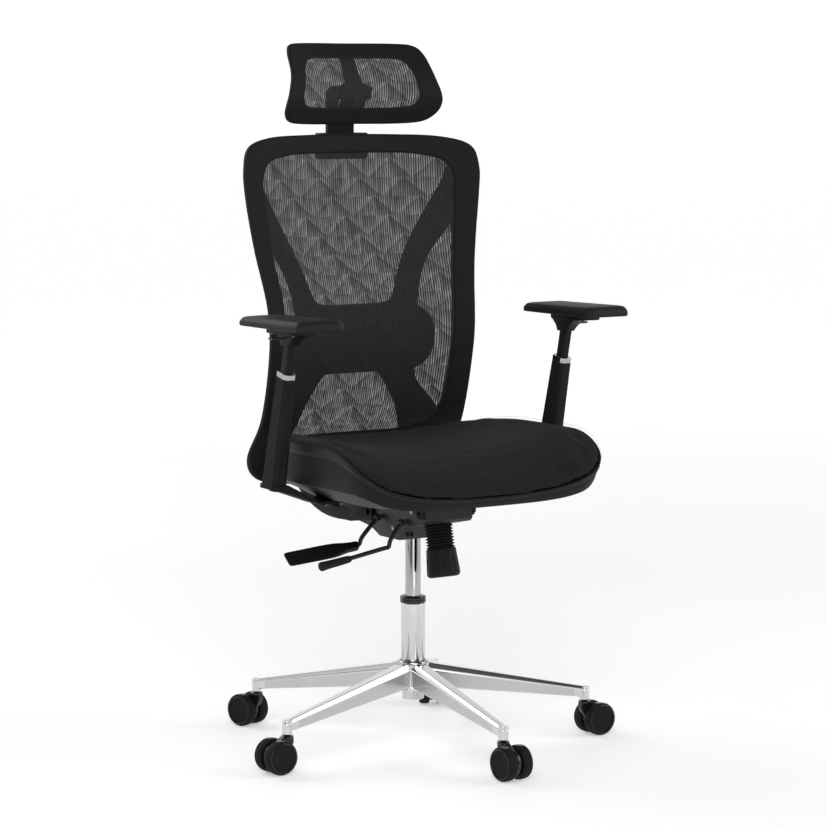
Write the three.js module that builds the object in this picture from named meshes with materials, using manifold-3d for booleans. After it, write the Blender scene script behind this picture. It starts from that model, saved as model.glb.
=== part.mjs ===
// Swivel office chair with a mesh back, a headrest and a five-arm caster base.
// Millimetres, +Z up, floor at z = 0. The chair faces -Y and the sitter's right is -X.
import * as THREE from "three";
import { mergeVertices } from "three/addons/utils/BufferGeometryUtils.js";
import Module from "manifold-3d";

const wasm = await Module();
wasm.setup();

// ---------------------------------------------------------------- driving dimensions
const GAP = 0.3; // between pieces that touch
const RUN = 1; // around pieces that turn or slide
const COLUMN = { x: 7.3, y: 22.5 }; // column axis from the middle of the chair's box

// base
const ARMS = 5;
const BASE_TURN = -76; // degrees from straight ahead to the first arm, seen from above
const STEM_CIRCLE = 320;
const HUB = { wall: 7, bottom: 99, top: 152, footRadius: 20, footBottom: 81, recess: 12 };
const LEG = { rootWidth: 34, tipWidth: 17, rootTop: 150, tipTop: 91, rootBottom: 105, tipBottom: 71 };
const BOSS = { radius: 9, bottom: 66, top: 91 };

// casters
const WHEEL = { radius: 30, width: 20, rim: 5, hubDepth: 16 };
const CASTER = { trail: 23, web: 11, webRadius: 23, capRadius: 11, capBottom: 59.5, capTop: 64 };
const STEM = { radius: 5.5, top: 84 };
const AXLE_RADIUS = 3;
const CASTER_TURNS = [-88, 3, 90, 150, -163]; // degrees from straight ahead, one for each arm

// column
const SLEEVE = { radius: 22, wall: 2, floor: 4, bottom: HUB.bottom + 3.5, top: 257 };
const BUSH = { bottom: 165, top: 270, collar: 1.5 }; // collar: how far it stands out over the sleeve
const HUB_RADIUS = SLEEVE.radius + HUB.wall;
const TUBE = { radius: 14, wall: 3.5, bottom: 212, top: 430, chamber: 345 };
const ROD = { radius: 5, bottom: 92, pistonRise: 6, pistonHeight: 10 };
const BEARING = { radius: 13, height: 4 };
const CLIP = { radius: 10, height: 3 };

// tilt mechanism
const HOUSING = { halfWidth: 50, wall: 4, socketRadius: 25, socketBottom: 378, top: 446 };
const KNOB = { y: -82, z: 409, tilt: 12, topRadius: 26.5, bottomRadius: 30, length: 51, screw: 5 };
const BOOT = { radius: 26, inner: 19, ribs: 6, ribDepth: 3.5, length: 42 };
const SPRING = { radius: 13.5, wire: 3.5, turns: 4, pitch: 8 };
const LEVER_HUB = { x: -HOUSING.halfWidth - 8, z: 413, radius: 6, width: 10 };
const LIFT = { y: 27, rod: 4, bendX: -98, bendZ: 367, endX: -248, endZ: 352, blade: 32, thick: 4 };
const LOCK = { y: -52, rod: 4, bendX: -86, bendZ: 371, endX: -228, endZ: 348, grip: 8.5, gripLength: 64 };

// pivots of the seat and of the back
const SEAT_PIVOT = { y: -106, z: 435, radius: 4 };
const BACK_PIVOT = { y: 62, z: 418, radius: 6 };
const CHEEK = 6; // thickness of the lugs on each side of the housing

// seat
const SEAT = { halfWidth: 262, front: -258, rear: 198, top: 545, side: 36, fall: 50, pad: 34, edge: 13 };
const SEAT_ROUNDNESS = { front: 8, rear: 2.8 }; // 2 is an ellipse, more is squarer
const PAN = { wall: 4, floor: 462, sideBottom: 493, lipBottom: 460 };
const SEAT_STEPS = 48; // points around the seat's outline

// armrests
const ARM_OUTSET = 30; // from the side of the seat to the middle of the sleeve
const ARM = {
  x: SEAT.halfWidth + ARM_OUTSET, y: -50, ringZ: 688, lean: 13,
  sleeveLength: 206, ringHeight: 9, postTop: 70, postEnd: -105,
};
const ARM_SLEEVE = { width: 30, depth: 46, topWidth: 25, topDepth: 35 };
const ARM_POST = { width: 16, depth: 22 };
const ARM_PAD = { width: 94, length: 212, height: 22, bottom: 771, x: ARM.x + 8, y: -79, corner: 14, bevel: 5 };
const PAD_MOUNT = { width: 50, length: 96, height: 9 };
const NECK_WALL = 12; // added to the post around its top
const TRIGGER = { length: 27, width: 14, thick: 4, drop: 8 };
const BRACKET = { thick: 7, width: 56, inner: 150 };

// back
const BACK = { wrap: 55, frame: 15, mesh: 2.4, support: 8, middle: 36, gap: 1.5 };
const SUPPORT_GAP = 4; // between the back of the frame and the ends of its support
const LUMBAR = { halfWidth: 153, bottom: 657, top: 783, thick: 8, stand: 16, corner: 52 };
const BAR_GAP = 4; // between the bar and the back of the frame

// headrest
const HEAD = { halfWidth: 165, bottom: 1113, top: 1260, y: 181, wrap: 34, thick: 12, mesh: 2.4 };
const NECK = { width: 56, thick: 12, y: 248, bottom: 1049, top: 1138, guideWidth: 100, guideRise: 2 };
const HEAD_PIVOT = { y: 230, z: 1172, radius: 11 };

// ---------------------------------------------------------------- finishes
const finish = (color, roughness, metalness = 0) =>
  new THREE.MeshStandardMaterial({ color, roughness, metalness });
const polished = finish(0xd9dadb, 0.12, 1);
const chrome = finish(0xe4e5e6, 0.06, 1);
const steel = finish(0x8f9295, 0.35, 1);
const blackPlastic = finish(0x1b1b1c, 0.5);
const glossPlastic = finish(0x151516, 0.25);
const blackPaint = finish(0x1c1c1d, 0.4);
const wheelPlastic = finish(0x2b2b2d, 0.45);
const softPad = finish(0x1a1a1b, 0.6);
const seatCloth = finish(0x17171a, 0.95);
const backMesh = finish(0x3a3a3c, 0.9);
const rubber = finish(0x141414, 0.8);

// ---------------------------------------------------------------- shared geometry
const rad = THREE.MathUtils.degToRad;
const vec = (x, y, z) => new THREE.Vector3(x, y, z);
const mirrored = (half) => [...half, ...half.slice().reverse().map(([x, z]) => [-x, z])];

function signedVolume(position, index) {
  const [a, b, c] = [vec(), vec(), vec()];
  let sum = 0;
  for (let i = 0; i < index.length; i += 3) {
    a.fromBufferAttribute(position, index[i]);
    b.fromBufferAttribute(position, index[i + 1]);
    c.fromBufferAttribute(position, index[i + 2]);
    sum += a.dot(b.cross(c));
  }
  return sum / 6;
}

// A closed solid with its shared corners merged, no folded triangles and its faces outward.
function closed(geometry) {
  const plain = geometry.clone();
  plain.deleteAttribute("normal");
  plain.deleteAttribute("uv");
  const merged = mergeVertices(plain, 1e-3);
  const all = Array.from(merged.index.array);
  let index = [];
  for (let i = 0; i < all.length; i += 3) {
    const [a, b, c] = all.slice(i, i + 3);
    if (a !== b && b !== c && c !== a) index.push(a, b, c);
  }
  if (signedVolume(merged.attributes.position, index) < 0) index = index.reverse();
  merged.setIndex(index);
  return merged;
}

function toManifold(geometry) {
  const solid = closed(geometry);
  const vertProperties = Float32Array.from(solid.attributes.position.array);
  const triVerts = Uint32Array.from(solid.index.array);
  return new wasm.Manifold(new wasm.Mesh({ numProp: 3, vertProperties, triVerts }));
}

function fromManifold(solid) {
  const { vertProperties, triVerts } = solid.getMesh();
  const geometry = new THREE.BufferGeometry();
  geometry.setAttribute("position", new THREE.BufferAttribute(Float32Array.from(vertProperties), 3));
  geometry.setIndex(Array.from(triVerts));
  return geometry;
}

const join = (...parts) => fromManifold(parts.map(toManifold).reduce((sum, next) => sum.add(next)));
const cut = (body, ...tools) =>
  fromManifold(tools.map(toManifold).reduce((rest, tool) => rest.subtract(tool), toManifold(body)));

const moved = (geometry, x, y, z) => geometry.clone().translate(x, y, z);
const turned = (geometry, x, y, z) =>
  geometry.clone().applyMatrix4(new THREE.Matrix4().makeRotationFromEuler(new THREE.Euler(rad(x), rad(y), rad(z))));

// Cylinders along each axis, between two ends.
const rodZ = (radius, low, high, sides = 20) =>
  moved(turned(new THREE.CylinderGeometry(radius, radius, high - low, sides), 90, 0, 0), 0, 0, (low + high) / 2);
const rodX = (radius, low, high, sides = 16) =>
  moved(turned(new THREE.CylinderGeometry(radius, radius, high - low, sides), 0, 0, 90), (low + high) / 2, 0, 0);
const rodY = (radius, low, high, sides = 16) =>
  moved(new THREE.CylinderGeometry(radius, radius, high - low, sides), 0, (low + high) / 2, 0);
const block = (width, depth, low, high) =>
  moved(new THREE.BoxGeometry(width, depth, high - low), 0, 0, (low + high) / 2);

// A turned solid about Z from a profile of [radius, z] points.
const turnedSolid = (profile, sides = 28) =>
  turned(new THREE.LatheGeometry(profile.map(([r, z]) => new THREE.Vector2(r, z)), sides), 90, 0, 0);

// A plate with its outline in the (y, z) plane, between two values of x.
function sidePlate(outline, low, high) {
  const shape = new THREE.Shape(outline.map(([y, z]) => new THREE.Vector2(y, z)));
  const plate = new THREE.ExtrudeGeometry(shape, { depth: high - low, bevelEnabled: false });
  const upright = new THREE.Matrix4().makeBasis(vec(0, 1, 0), vec(0, 0, 1), vec(1, 0, 0));
  return plate.applyMatrix4(upright).translate(low, 0, 0);
}

// A round bar along a smooth line through the points.
function barAlong(points, radius, steps, sides = 8, tension = 0.15) {
  const path = new THREE.CatmullRomCurve3(points, false, "catmullrom", tension);
  const section = new THREE.Shape(circlePoints(radius, sides));
  return new THREE.ExtrudeGeometry(section, { steps, bevelEnabled: false, extrudePath: path });
}

const circlePoints = (radius, sides) =>
  Array.from({ length: sides }, (_, i) => {
    const angle = (2 * Math.PI * i) / sides;
    return new THREE.Vector2(radius * Math.cos(angle), radius * Math.sin(angle));
  });

// A skin over rings of points with the same count in each. The first and last rings close it: as a
// fan, or, where a ring runs out along a thin strip and back, by joining its two sides.
function loft(rings, strip = false) {
  const count = rings[0].length;
  const position = rings.flat().flatMap((p) => [p.x, p.y, p.z]);
  const index = [];
  for (let k = 0; k < rings.length - 1; k++) {
    for (let i = 0; i < count; i++) {
      const [a, b] = [k * count + i, k * count + ((i + 1) % count)];
      index.push(a, b, b + count, a, b + count, a + count);
    }
  }
  const last = (rings.length - 1) * count;
  if (strip) {
    for (let i = 0; i < count / 2 - 1; i++) {
      const [a, b, c, d] = [i, i + 1, count - 2 - i, count - 1 - i];
      index.push(a, c, b, a, d, c, last + a, last + b, last + c, last + a, last + c, last + d);
    }
  } else {
    for (let i = 1; i < count - 1; i++) index.push(0, i + 1, i, last, last + i, last + i + 1);
  }
  const geometry = new THREE.BufferGeometry();
  geometry.setAttribute("position", new THREE.Float32BufferAttribute(position, 3));
  geometry.setIndex(index);
  return geometry;
}

// A rectangle of points about a centre, square to a direction that lies in the (y, z) plane.
function crossSection(y, z, angle, halfWidth, thick) {
  const [c, s] = [Math.cos(rad(angle)), Math.sin(rad(angle))];
  const corners = [[-1, -1], [1, -1], [1, 1], [-1, 1]];
  return corners.map(([i, j]) => vec(i * halfWidth, y - (s * j * thick) / 2, z + (c * j * thick) / 2));
}

// A flat outline in (x, z), with holes, given a thickness and bent onto a surface y = at(x, z).
function bentPlate(outline, holes, thick, at) {
  const shape = new THREE.Shape(outline.map(([x, z]) => new THREE.Vector2(x, z)));
  shape.holes = holes.map((hole) => new THREE.Path(hole.map(([x, z]) => new THREE.Vector2(x, z))));
  const plate = new THREE.ExtrudeGeometry(shape, { depth: thick, bevelEnabled: false });
  const position = plate.attributes.position;
  for (let i = 0; i < position.count; i++) {
    const [x, z, depth] = [position.getX(i), position.getY(i), position.getZ(i)];
    position.setXYZ(i, x, at(x, z) + depth, z);
  }
  return plate;
}

// A thin sheet between two heights, as wide at each height as the half width says.
function curvedSheet(heights, halfWidthAt, columns, thick, at) {
  const rings = [];
  for (const z of heights) {
    const xs = Array.from({ length: columns + 1 }, (_, i) => halfWidthAt(z) * ((2 * i) / columns - 1));
    const front = xs.map((x) => vec(x, at(x, z), z));
    const back = xs.map((x) => vec(x, at(x, z) + thick, z)).reverse();
    rings.push([...front, ...back]);
  }
  return loft(rings, true);
}

// Points along a smooth line through [x, z] points.
function smooth(points, count) {
  const curve = new THREE.SplineCurve(points.map(([x, z]) => new THREE.Vector2(x, z)));
  return curve.getPoints(count).map((p) => [p.x, p.y]);
}

function between(points, value, key = 1, result = 0) {
  for (let i = 0; i < points.length - 1; i++) {
    const [low, high] = [points[i][key], points[i + 1][key]];
    if ((value >= low && value <= high) || (value <= low && value >= high)) {
      const share = high === low ? 0 : (value - low) / (high - low);
      return points[i][result] + share * (points[i + 1][result] - points[i][result]);
    }
  }
  const nearEnd = Math.abs(value - points[0][key]) < Math.abs(value - points.at(-1)[key]);
  return nearEnd ? points[0][result] : points.at(-1)[result];
}

// ---------------------------------------------------------------- assembly
const chair = new THREE.Group();
chair.position.set(COLUMN.x, COLUMN.y, 0);

function add(name, geometry, material, parent = chair) {
  const mesh = new THREE.Mesh(closed(geometry), material);
  mesh.name = name;
  parent.add(mesh);
}

// ---------------------------------------------------------------- base
const legTurn = (k) => BASE_TURN + (360 / ARMS) * k;

function leg() {
  const section = (x, width, top, bottom) => {
    const shoulder = top - (top - bottom) * 0.28;
    const outline = [[0.26, top], [0.5, shoulder], [0.44, bottom]];
    const right = outline.map(([share, z]) => vec(x, share * width, z));
    const left = outline.map(([share, z]) => vec(x, -share * width, z)).reverse();
    return [...right, ...left];
  };
  return loft([
    section(HUB_RADIUS / 2, LEG.rootWidth, LEG.rootTop, LEG.rootBottom),
    section(STEM_CIRCLE, LEG.tipWidth, LEG.tipTop - GAP, LEG.tipBottom),
  ]);
}

function starBase() {
  const hub = turnedSolid([
    [0, HUB.footBottom], [HUB.footRadius, HUB.footBottom], [HUB.footRadius, HUB.bottom],
    [HUB_RADIUS, HUB.bottom + 3], [HUB_RADIUS, HUB.top - 5], [HUB_RADIUS - 4, HUB.top], [0, HUB.top],
  ], 32);
  const pieces = [hub];
  const holes = [
    rodZ(SLEEVE.radius + GAP, SLEEVE.bottom - GAP, HUB.top + 1, 28),
    rodZ(HUB.recess, HUB.footBottom - 1, SLEEVE.bottom, 20),
  ];
  for (let k = 0; k < ARMS; k++) {
    const turn = legTurn(k) - 90;
    pieces.push(turned(leg(), 0, 0, turn));
    pieces.push(turned(moved(rodZ(BOSS.radius, BOSS.bottom, BOSS.top, 16), STEM_CIRCLE, 0, 0), 0, 0, turn));
    const hole = rodZ(STEM.radius + GAP, BOSS.bottom - 1, STEM.top + RUN, 12);
    holes.push(turned(moved(hole, STEM_CIRCLE, 0, 0), 0, 0, turn));
  }
  return cut(join(...pieces), ...holes);
}

// ---------------------------------------------------------------- casters
// Each caster is drawn with its stem on Z and its wheels trailing along +X.
function hood() {
  const disc = moved(rodY(CASTER.webRadius, -CASTER.web / 2, CASTER.web / 2, 20), CASTER.trail, 0, WHEEL.radius);
  const neckOutline = [
    [-CASTER.capRadius, CASTER.capTop - 1], [-CASTER.capRadius, WHEEL.radius + 14],
    [CASTER.trail / 2, WHEEL.radius - 8], [CASTER.trail, WHEEL.radius],
    [CASTER.trail + 8, WHEEL.radius + 21], [CASTER.capRadius, CASTER.capTop - 1],
  ];
  const shape = new THREE.Shape(neckOutline.map(([x, z]) => new THREE.Vector2(x, z)));
  const neck = new THREE.ExtrudeGeometry(shape, { depth: CASTER.web, bevelEnabled: false });
  const upright = turned(neck, 90, 0, 0).translate(0, CASTER.web / 2, 0);
  const cap = rodZ(CASTER.capRadius, CASTER.capBottom, CASTER.capTop, 16);
  const stem = rodZ(STEM.radius, CASTER.capTop - 2, STEM.top, 12);
  const bore = moved(rodY(AXLE_RADIUS + GAP, -WHEEL.radius, WHEEL.radius, 12), CASTER.trail, 0, WHEEL.radius);
  return cut(join(disc, upright, cap, stem), bore);
}

function wheel(side) {
  const sides = 20;
  const rim = WHEEL.radius / Math.cos(Math.PI / sides); // flats of the rim reach the floor
  const inner = CASTER.web / 2 + RUN;
  const outer = inner + WHEEL.width;
  const profile = [
    [0, outer - 1.5], [rim - WHEEL.rim - 2, outer - 1.5], [rim - WHEEL.rim, outer], [rim - 1, outer - 3],
    [rim, outer - WHEEL.rim - 1], [rim, inner + 3], [rim - 3, inner], [AXLE_RADIUS + GAP, inner],
    [AXLE_RADIUS + GAP, inner + WHEEL.hubDepth], [0, inner + WHEEL.hubDepth],
  ].map(([r, y]) => new THREE.Vector2(r, y));
  const round = new THREE.LatheGeometry(profile, sides);
  const placed = turned(round, 0, 180 / sides, 0).translate(CASTER.trail, 0, WHEEL.radius);
  return side > 0 ? placed : turned(placed.translate(-CASTER.trail, 0, 0), 0, 0, 180).translate(CASTER.trail, 0, 0);
}

function addCasters() {
  const axleEnd = CASTER.web / 2 + RUN + WHEEL.hubDepth - RUN;
  for (let k = 0; k < ARMS; k++) {
    const spot = new THREE.Group();
    const turn = rad(legTurn(k) - 90);
    spot.position.set(STEM_CIRCLE * Math.cos(turn), STEM_CIRCLE * Math.sin(turn), 0);
    spot.rotation.z = rad(CASTER_TURNS[k] - 90);
    chair.add(spot);
    const axle = moved(rodY(AXLE_RADIUS, -axleEnd, axleEnd, 12), CASTER.trail, 0, WHEEL.radius);
    add(`caster_hood_${k + 1}`, hood(), blackPlastic, spot);
    add(`caster_axle_${k + 1}`, axle, steel, spot);
    add(`caster_wheel_${k + 1}_left`, wheel(1), wheelPlastic, spot);
    add(`caster_wheel_${k + 1}_right`, wheel(-1), wheelPlastic, spot);
  }
}

// ---------------------------------------------------------------- column
function columnSleeve() {
  const [outer, inner, hole] = [SLEEVE.radius, SLEEVE.radius - SLEEVE.wall, ROD.radius + GAP];
  const floor = SLEEVE.bottom + SLEEVE.floor;
  return turnedSolid([
    [hole, SLEEVE.bottom], [outer, SLEEVE.bottom], [outer, SLEEVE.top], [inner, SLEEVE.top],
    [inner, floor], [hole, floor], [hole, SLEEVE.bottom],
  ]);
}

function guideBush() {
  const [inner, outer, collar] = [TUBE.radius + GAP, SLEEVE.radius - SLEEVE.wall - GAP, SLEEVE.radius + BUSH.collar];
  const ledge = SLEEVE.top + GAP;
  return turnedSolid([
    [inner, BUSH.bottom], [outer, BUSH.bottom], [outer, ledge], [collar, ledge],
    [collar, BUSH.top - 3], [collar - 3, BUSH.top], [inner, BUSH.top], [inner, BUSH.bottom],
  ], 24);
}

function pistonRod() {
  const low = TUBE.bottom + TUBE.wall + ROD.pistonRise;
  const bore = TUBE.radius - TUBE.wall - GAP;
  return turnedSolid([
    [0, ROD.bottom], [ROD.radius, ROD.bottom], [ROD.radius, low], [bore, low],
    [bore, low + ROD.pistonHeight], [0, low + ROD.pistonHeight],
  ], 16);
}

function gasTube() {
  const [bore, hole] = [TUBE.radius - TUBE.wall, ROD.radius + GAP];
  const floor = TUBE.bottom + TUBE.wall;
  return turnedSolid([
    [0, TUBE.chamber], [bore, TUBE.chamber], [bore, floor], [hole, floor], [hole, TUBE.bottom],
    [TUBE.radius, TUBE.bottom], [TUBE.radius, TUBE.top - 6], [TUBE.radius - 3, TUBE.top], [0, TUBE.top],
  ], 24);
}

function ring(inner, outer, low, high, sides = 20) {
  return turnedSolid([[inner, low], [outer, low], [outer, high], [inner, high], [inner, low]], sides);
}

function addColumn() {
  const bearingLow = SLEEVE.bottom + SLEEVE.floor + GAP;
  const clipTop = SLEEVE.bottom - GAP;
  add("star_base", starBase(), polished);
  add("column_sleeve", columnSleeve(), chrome);
  add("guide_bush", guideBush(), blackPlastic);
  add("piston_rod", pistonRod(), steel);
  add("thrust_bearing", ring(ROD.radius + GAP, BEARING.radius, bearingLow, bearingLow + BEARING.height), steel);
  add("retaining_clip", ring(ROD.radius + GAP, CLIP.radius, clipTop - CLIP.height, clipTop), steel);
  add("gas_tube", gasTube(), chrome);
}

// ---------------------------------------------------------------- tilt mechanism
function housing() {
  const { halfWidth, wall, socketRadius, socketBottom, top } = HOUSING;
  const bootFlat = KNOB.z + GAP; // the boot's flat slopes with the knob's axis
  const slope = Math.tan(rad(KNOB.tilt));
  const [flatFront, flatRear] = [KNOB.y - BOOT.radius - 3, KNOB.y + BOOT.radius + 3];
  const outline = [
    [flatFront - 6, top], [flatFront - 6, bootFlat + slope * (KNOB.y - flatFront) + 6],
    [flatFront, bootFlat + slope * (KNOB.y - flatFront)],
    [flatRear, bootFlat + slope * (KNOB.y - flatRear)],
    [-socketRadius - 8, socketBottom], [socketRadius + 8, socketBottom],
    [BACK_PIVOT.y, BACK_PIVOT.z - 27], [BACK_PIVOT.y + 50, BACK_PIVOT.z - 20],
    [BACK_PIVOT.y + 50, BACK_PIVOT.z + 12], [20, top],
  ];
  const middle = [(outline[0][0] + outline[7][0]) / 2, (top + socketBottom) / 2];
  const [reachY, reachZ] = [outline[7][0] - middle[0], top - middle[1]];
  const hollow = outline.map(([y, z]) => [
    middle[0] + (y - middle[0]) * (1 - wall / reachY),
    middle[1] + (z - middle[1]) * (1 - wall / reachZ),
  ]);
  const shell = sidePlate(outline, -halfWidth, halfWidth);
  const space = sidePlate(hollow, wall - halfWidth, halfWidth - wall);
  const socket = rodZ(socketRadius, socketBottom - 1, top, 24);
  const knobBore = turned(rodZ(KNOB.screw + 4, -2, 20, 16), -KNOB.tilt, 0, 0).translate(0, KNOB.y, KNOB.z);
  return cut(
    shell, cut(space, socket),
    rodZ(TUBE.radius + GAP, socketBottom - 1, TUBE.top + GAP, 24), knobBore,
    moved(rodX(SEAT_PIVOT.radius + GAP, -halfWidth - 1, halfWidth + 1), 0, SEAT_PIVOT.y, SEAT_PIVOT.z),
    moved(rodX(BACK_PIVOT.radius + GAP, -halfWidth - 1, halfWidth + 1), 0, BACK_PIVOT.y, BACK_PIVOT.z),
  );
}

function boot() {
  const pitch = BOOT.length / BOOT.ribs;
  const outside = [];
  for (let i = 0; i < BOOT.ribs; i++) {
    const high = -GAP - i * pitch;
    outside.push([BOOT.radius, high], [BOOT.radius, high - pitch * 0.45]);
    outside.push([BOOT.radius - BOOT.ribDepth, high - pitch * 0.6]);
    outside.push([BOOT.radius - BOOT.ribDepth, high - pitch * 0.9]);
  }
  const low = outside.at(-1)[1];
  const profile = [...outside, [BOOT.inner, low], [BOOT.inner, -GAP], outside[0]];
  return turnedSolid(profile, 16);
}

function knob() {
  const top = -BOOT.length - RUN;
  const bottom = top - KNOB.length;
  return turnedSolid([
    [0, bottom], [KNOB.bottomRadius - 5, bottom], [KNOB.bottomRadius, bottom + 5],
    [KNOB.bottomRadius - 0.5, bottom + 11], [KNOB.topRadius, top - 2], [KNOB.topRadius - 2, top],
    [KNOB.screw, top], [KNOB.screw, 4], [0, 4],
  ], 24);
}

function tensionSpring() {
  const steps = SPRING.turns * 10;
  const start = -4 - SPRING.wire / 2;
  const points = Array.from({ length: steps + 1 }, (_, i) => {
    const angle = (2 * Math.PI * SPRING.turns * i) / steps;
    const drop = start - (SPRING.pitch * angle) / (2 * Math.PI);
    return vec(SPRING.radius * Math.cos(angle), SPRING.radius * Math.sin(angle), drop);
  });
  return barAlong(points, SPRING.wire / 2, steps, 6, 0.5);
}

function leverRod(lever, inset) {
  const points = [
    vec(LEVER_HUB.x, lever.y, LEVER_HUB.z),
    vec(LEVER_HUB.x + (lever.bendX - LEVER_HUB.x) * 0.8, lever.y, lever.bendZ + 14),
    vec(lever.bendX, lever.y, lever.bendZ),
    vec(lever.bendX - 14, lever.y, lever.bendZ - 2),
    leverPoint(lever, inset),
  ];
  return points;
}

// A point on the straight outer stretch of a lever, at a distance out from the bend.
function leverPoint(lever, out) {
  const share = out / (lever.bendX - lever.endX);
  return vec(lever.bendX - out, lever.y, lever.bendZ - 2 + (lever.endZ - lever.bendZ + 2) * share);
}

function addLevers(parent) {
  const { radius, width, x, z } = LEVER_HUB;
  const hub = (y) => moved(rodY(radius, y - width / 2, y + width / 2), x, 0, z);
  const liftLine = leverRod(LIFT, 40);
  add("lift_lever", join(hub(LIFT.y), barAlong(liftLine, LIFT.rod, 20)), blackPaint, parent);
  const bladeRoot = leverPoint(LIFT, 4);
  const bladeEnd = leverPoint(LIFT, LIFT.bendX - LIFT.endX);
  const bladeSection = (p, width, thick) =>
    [[-0.5, -0.5], [0.5, -0.5], [0.5, 0.5], [-0.5, 0.5]].map(([i, j]) => {
      const [across, up] = [i * width, j * thick];
      const lean = rad(38);
      const [c, s] = [Math.cos(lean), Math.sin(lean)];
      return vec(p.x, p.y + across * c - up * s, p.z + across * s + up * c);
    });
  const blade = loft([
    bladeSection(bladeRoot, 16, LIFT.rod * 2 + 4),
    bladeSection(leverPoint(LIFT, 44), LIFT.blade * 0.75, LIFT.rod * 2 + 3),
    bladeSection(leverPoint(LIFT, 70), LIFT.blade, LIFT.thick + 2),
    bladeSection(bladeEnd, LIFT.blade, LIFT.thick),
  ]);
  add("lift_paddle", cut(blade, barAlong(liftLine, LIFT.rod + GAP, 20)), blackPlastic, parent);

  const lockReach = LOCK.bendX - LOCK.endX;
  const lockLine = leverRod(LOCK, lockReach - LOCK.gripLength / 2);
  add("lock_lever", join(hub(LOCK.y), barAlong(lockLine, LOCK.rod, 24)), blackPaint, parent);
  const gripAt = leverPoint(LOCK, lockReach);
  const slope = Math.atan2(LOCK.bendZ - 2 - LOCK.endZ, lockReach) * THREE.MathUtils.RAD2DEG;
  const grip = turnedSolid([
    [0, 0], [LOCK.grip - 3, 0], [LOCK.grip, 4], [LOCK.grip * 0.85, LOCK.gripLength * 0.5],
    [LOCK.rod + 2, LOCK.gripLength], [0, LOCK.gripLength],
  ], 14);
  const placed = turned(grip, 0, 90 + slope, 0).translate(gripAt.x, gripAt.y, gripAt.z);
  add("lock_grip", cut(placed, barAlong(lockLine, LOCK.rod + GAP, 24)), blackPlastic, parent);
}

function pivotPin(radius, reach) {
  return rodX(radius, -reach, reach);
}

function addMechanism() {
  add("tilt_housing", housing(), blackPaint);
  const axis = new THREE.Group();
  axis.position.set(0, KNOB.y, KNOB.z);
  axis.rotation.x = rad(-KNOB.tilt);
  chair.add(axis);
  add("tension_boot", boot(), rubber, axis);
  add("tension_spring", tensionSpring(), steel, axis);
  add("tension_knob", knob(), blackPlastic, axis);
  addLevers(chair);
  const reach = HOUSING.halfWidth + RUN + CHEEK;
  add("seat_pivot_pin", moved(pivotPin(SEAT_PIVOT.radius, reach), 0, SEAT_PIVOT.y, SEAT_PIVOT.z), steel);
  add("back_pivot_pin", moved(pivotPin(BACK_PIVOT.radius, reach), 0, BACK_PIVOT.y, BACK_PIVOT.z), steel);
}

// ---------------------------------------------------------------- seat
const seatMiddle = (SEAT.front + SEAT.rear) / 2;
const seatReach = (SEAT.rear - SEAT.front) / 2;

function seatOutline(share, inset = 0) {
  return Array.from({ length: SEAT_STEPS }, (_, i) => {
    const angle = (2 * Math.PI * (i + 0.5)) / SEAT_STEPS;
    const [c, s] = [Math.cos(angle), Math.sin(angle)];
    const power = s < 0 ? SEAT_ROUNDNESS.front : SEAT_ROUNDNESS.rear;
    const across = (Math.abs(c) / (SEAT.halfWidth - inset)) ** power;
    const reach = share / (across + (Math.abs(s) / (seatReach - inset)) ** power) ** (1 / power);
    return [c * reach, seatMiddle + s * reach];
  });
}

const seatTop = (x, y) => {
  const rise = SEAT.side * Math.min(1, Math.abs(x) / SEAT.halfWidth) ** 2.5;
  const start = SEAT.front + 138;
  const drop = SEAT.fall * Math.max(0, (start - y) / (start - SEAT.front)) ** 2;
  return SEAT.top + rise - drop;
};

// Height of the seam between the cloth and the pan.
const seatSeam = (x, y) => seatTop(x, y) - SEAT.edge - 6 * Math.max(0, Math.min(1, (SEAT.front + 100 - y) / 100));

function seatRing(share, inset, height) {
  return seatOutline(share, inset).map(([x, y]) => vec(x, y, height(x, y)));
}

function seatCushion() {
  return loft([
    seatRing(0.08, 0, (x, y) => seatTop(x, y) - SEAT.pad),
    seatRing(0.5, 0, (x, y) => seatTop(x, y) - SEAT.pad),
    seatRing(0.88, 0, (x, y) => seatTop(x, y) - SEAT.pad + 4),
    seatRing(1, 8, (x, y) => seatSeam(x, y) - 2),
    seatRing(1, 0, (x, y) => seatSeam(x, y)),
    seatRing(1, 0, (x, y) => seatTop(x, y) - 6),
    seatRing(0.97, 0, seatTop),
    seatRing(0.75, 0, seatTop),
    seatRing(0.4, 0, seatTop),
    seatRing(0.08, 0, seatTop),
  ]);
}

// Bottom edge of the pan's outer wall: high at the sides, low at the front lip.
function panEdge(x, y) {
  const side = Math.min(1, Math.abs(x) / (SEAT.halfWidth * 0.9)) ** 4;
  return PAN.lipBottom + (PAN.sideBottom - PAN.lipBottom) * side * (y > SEAT.front + 60 ? 1 : 0.5);
}

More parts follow.
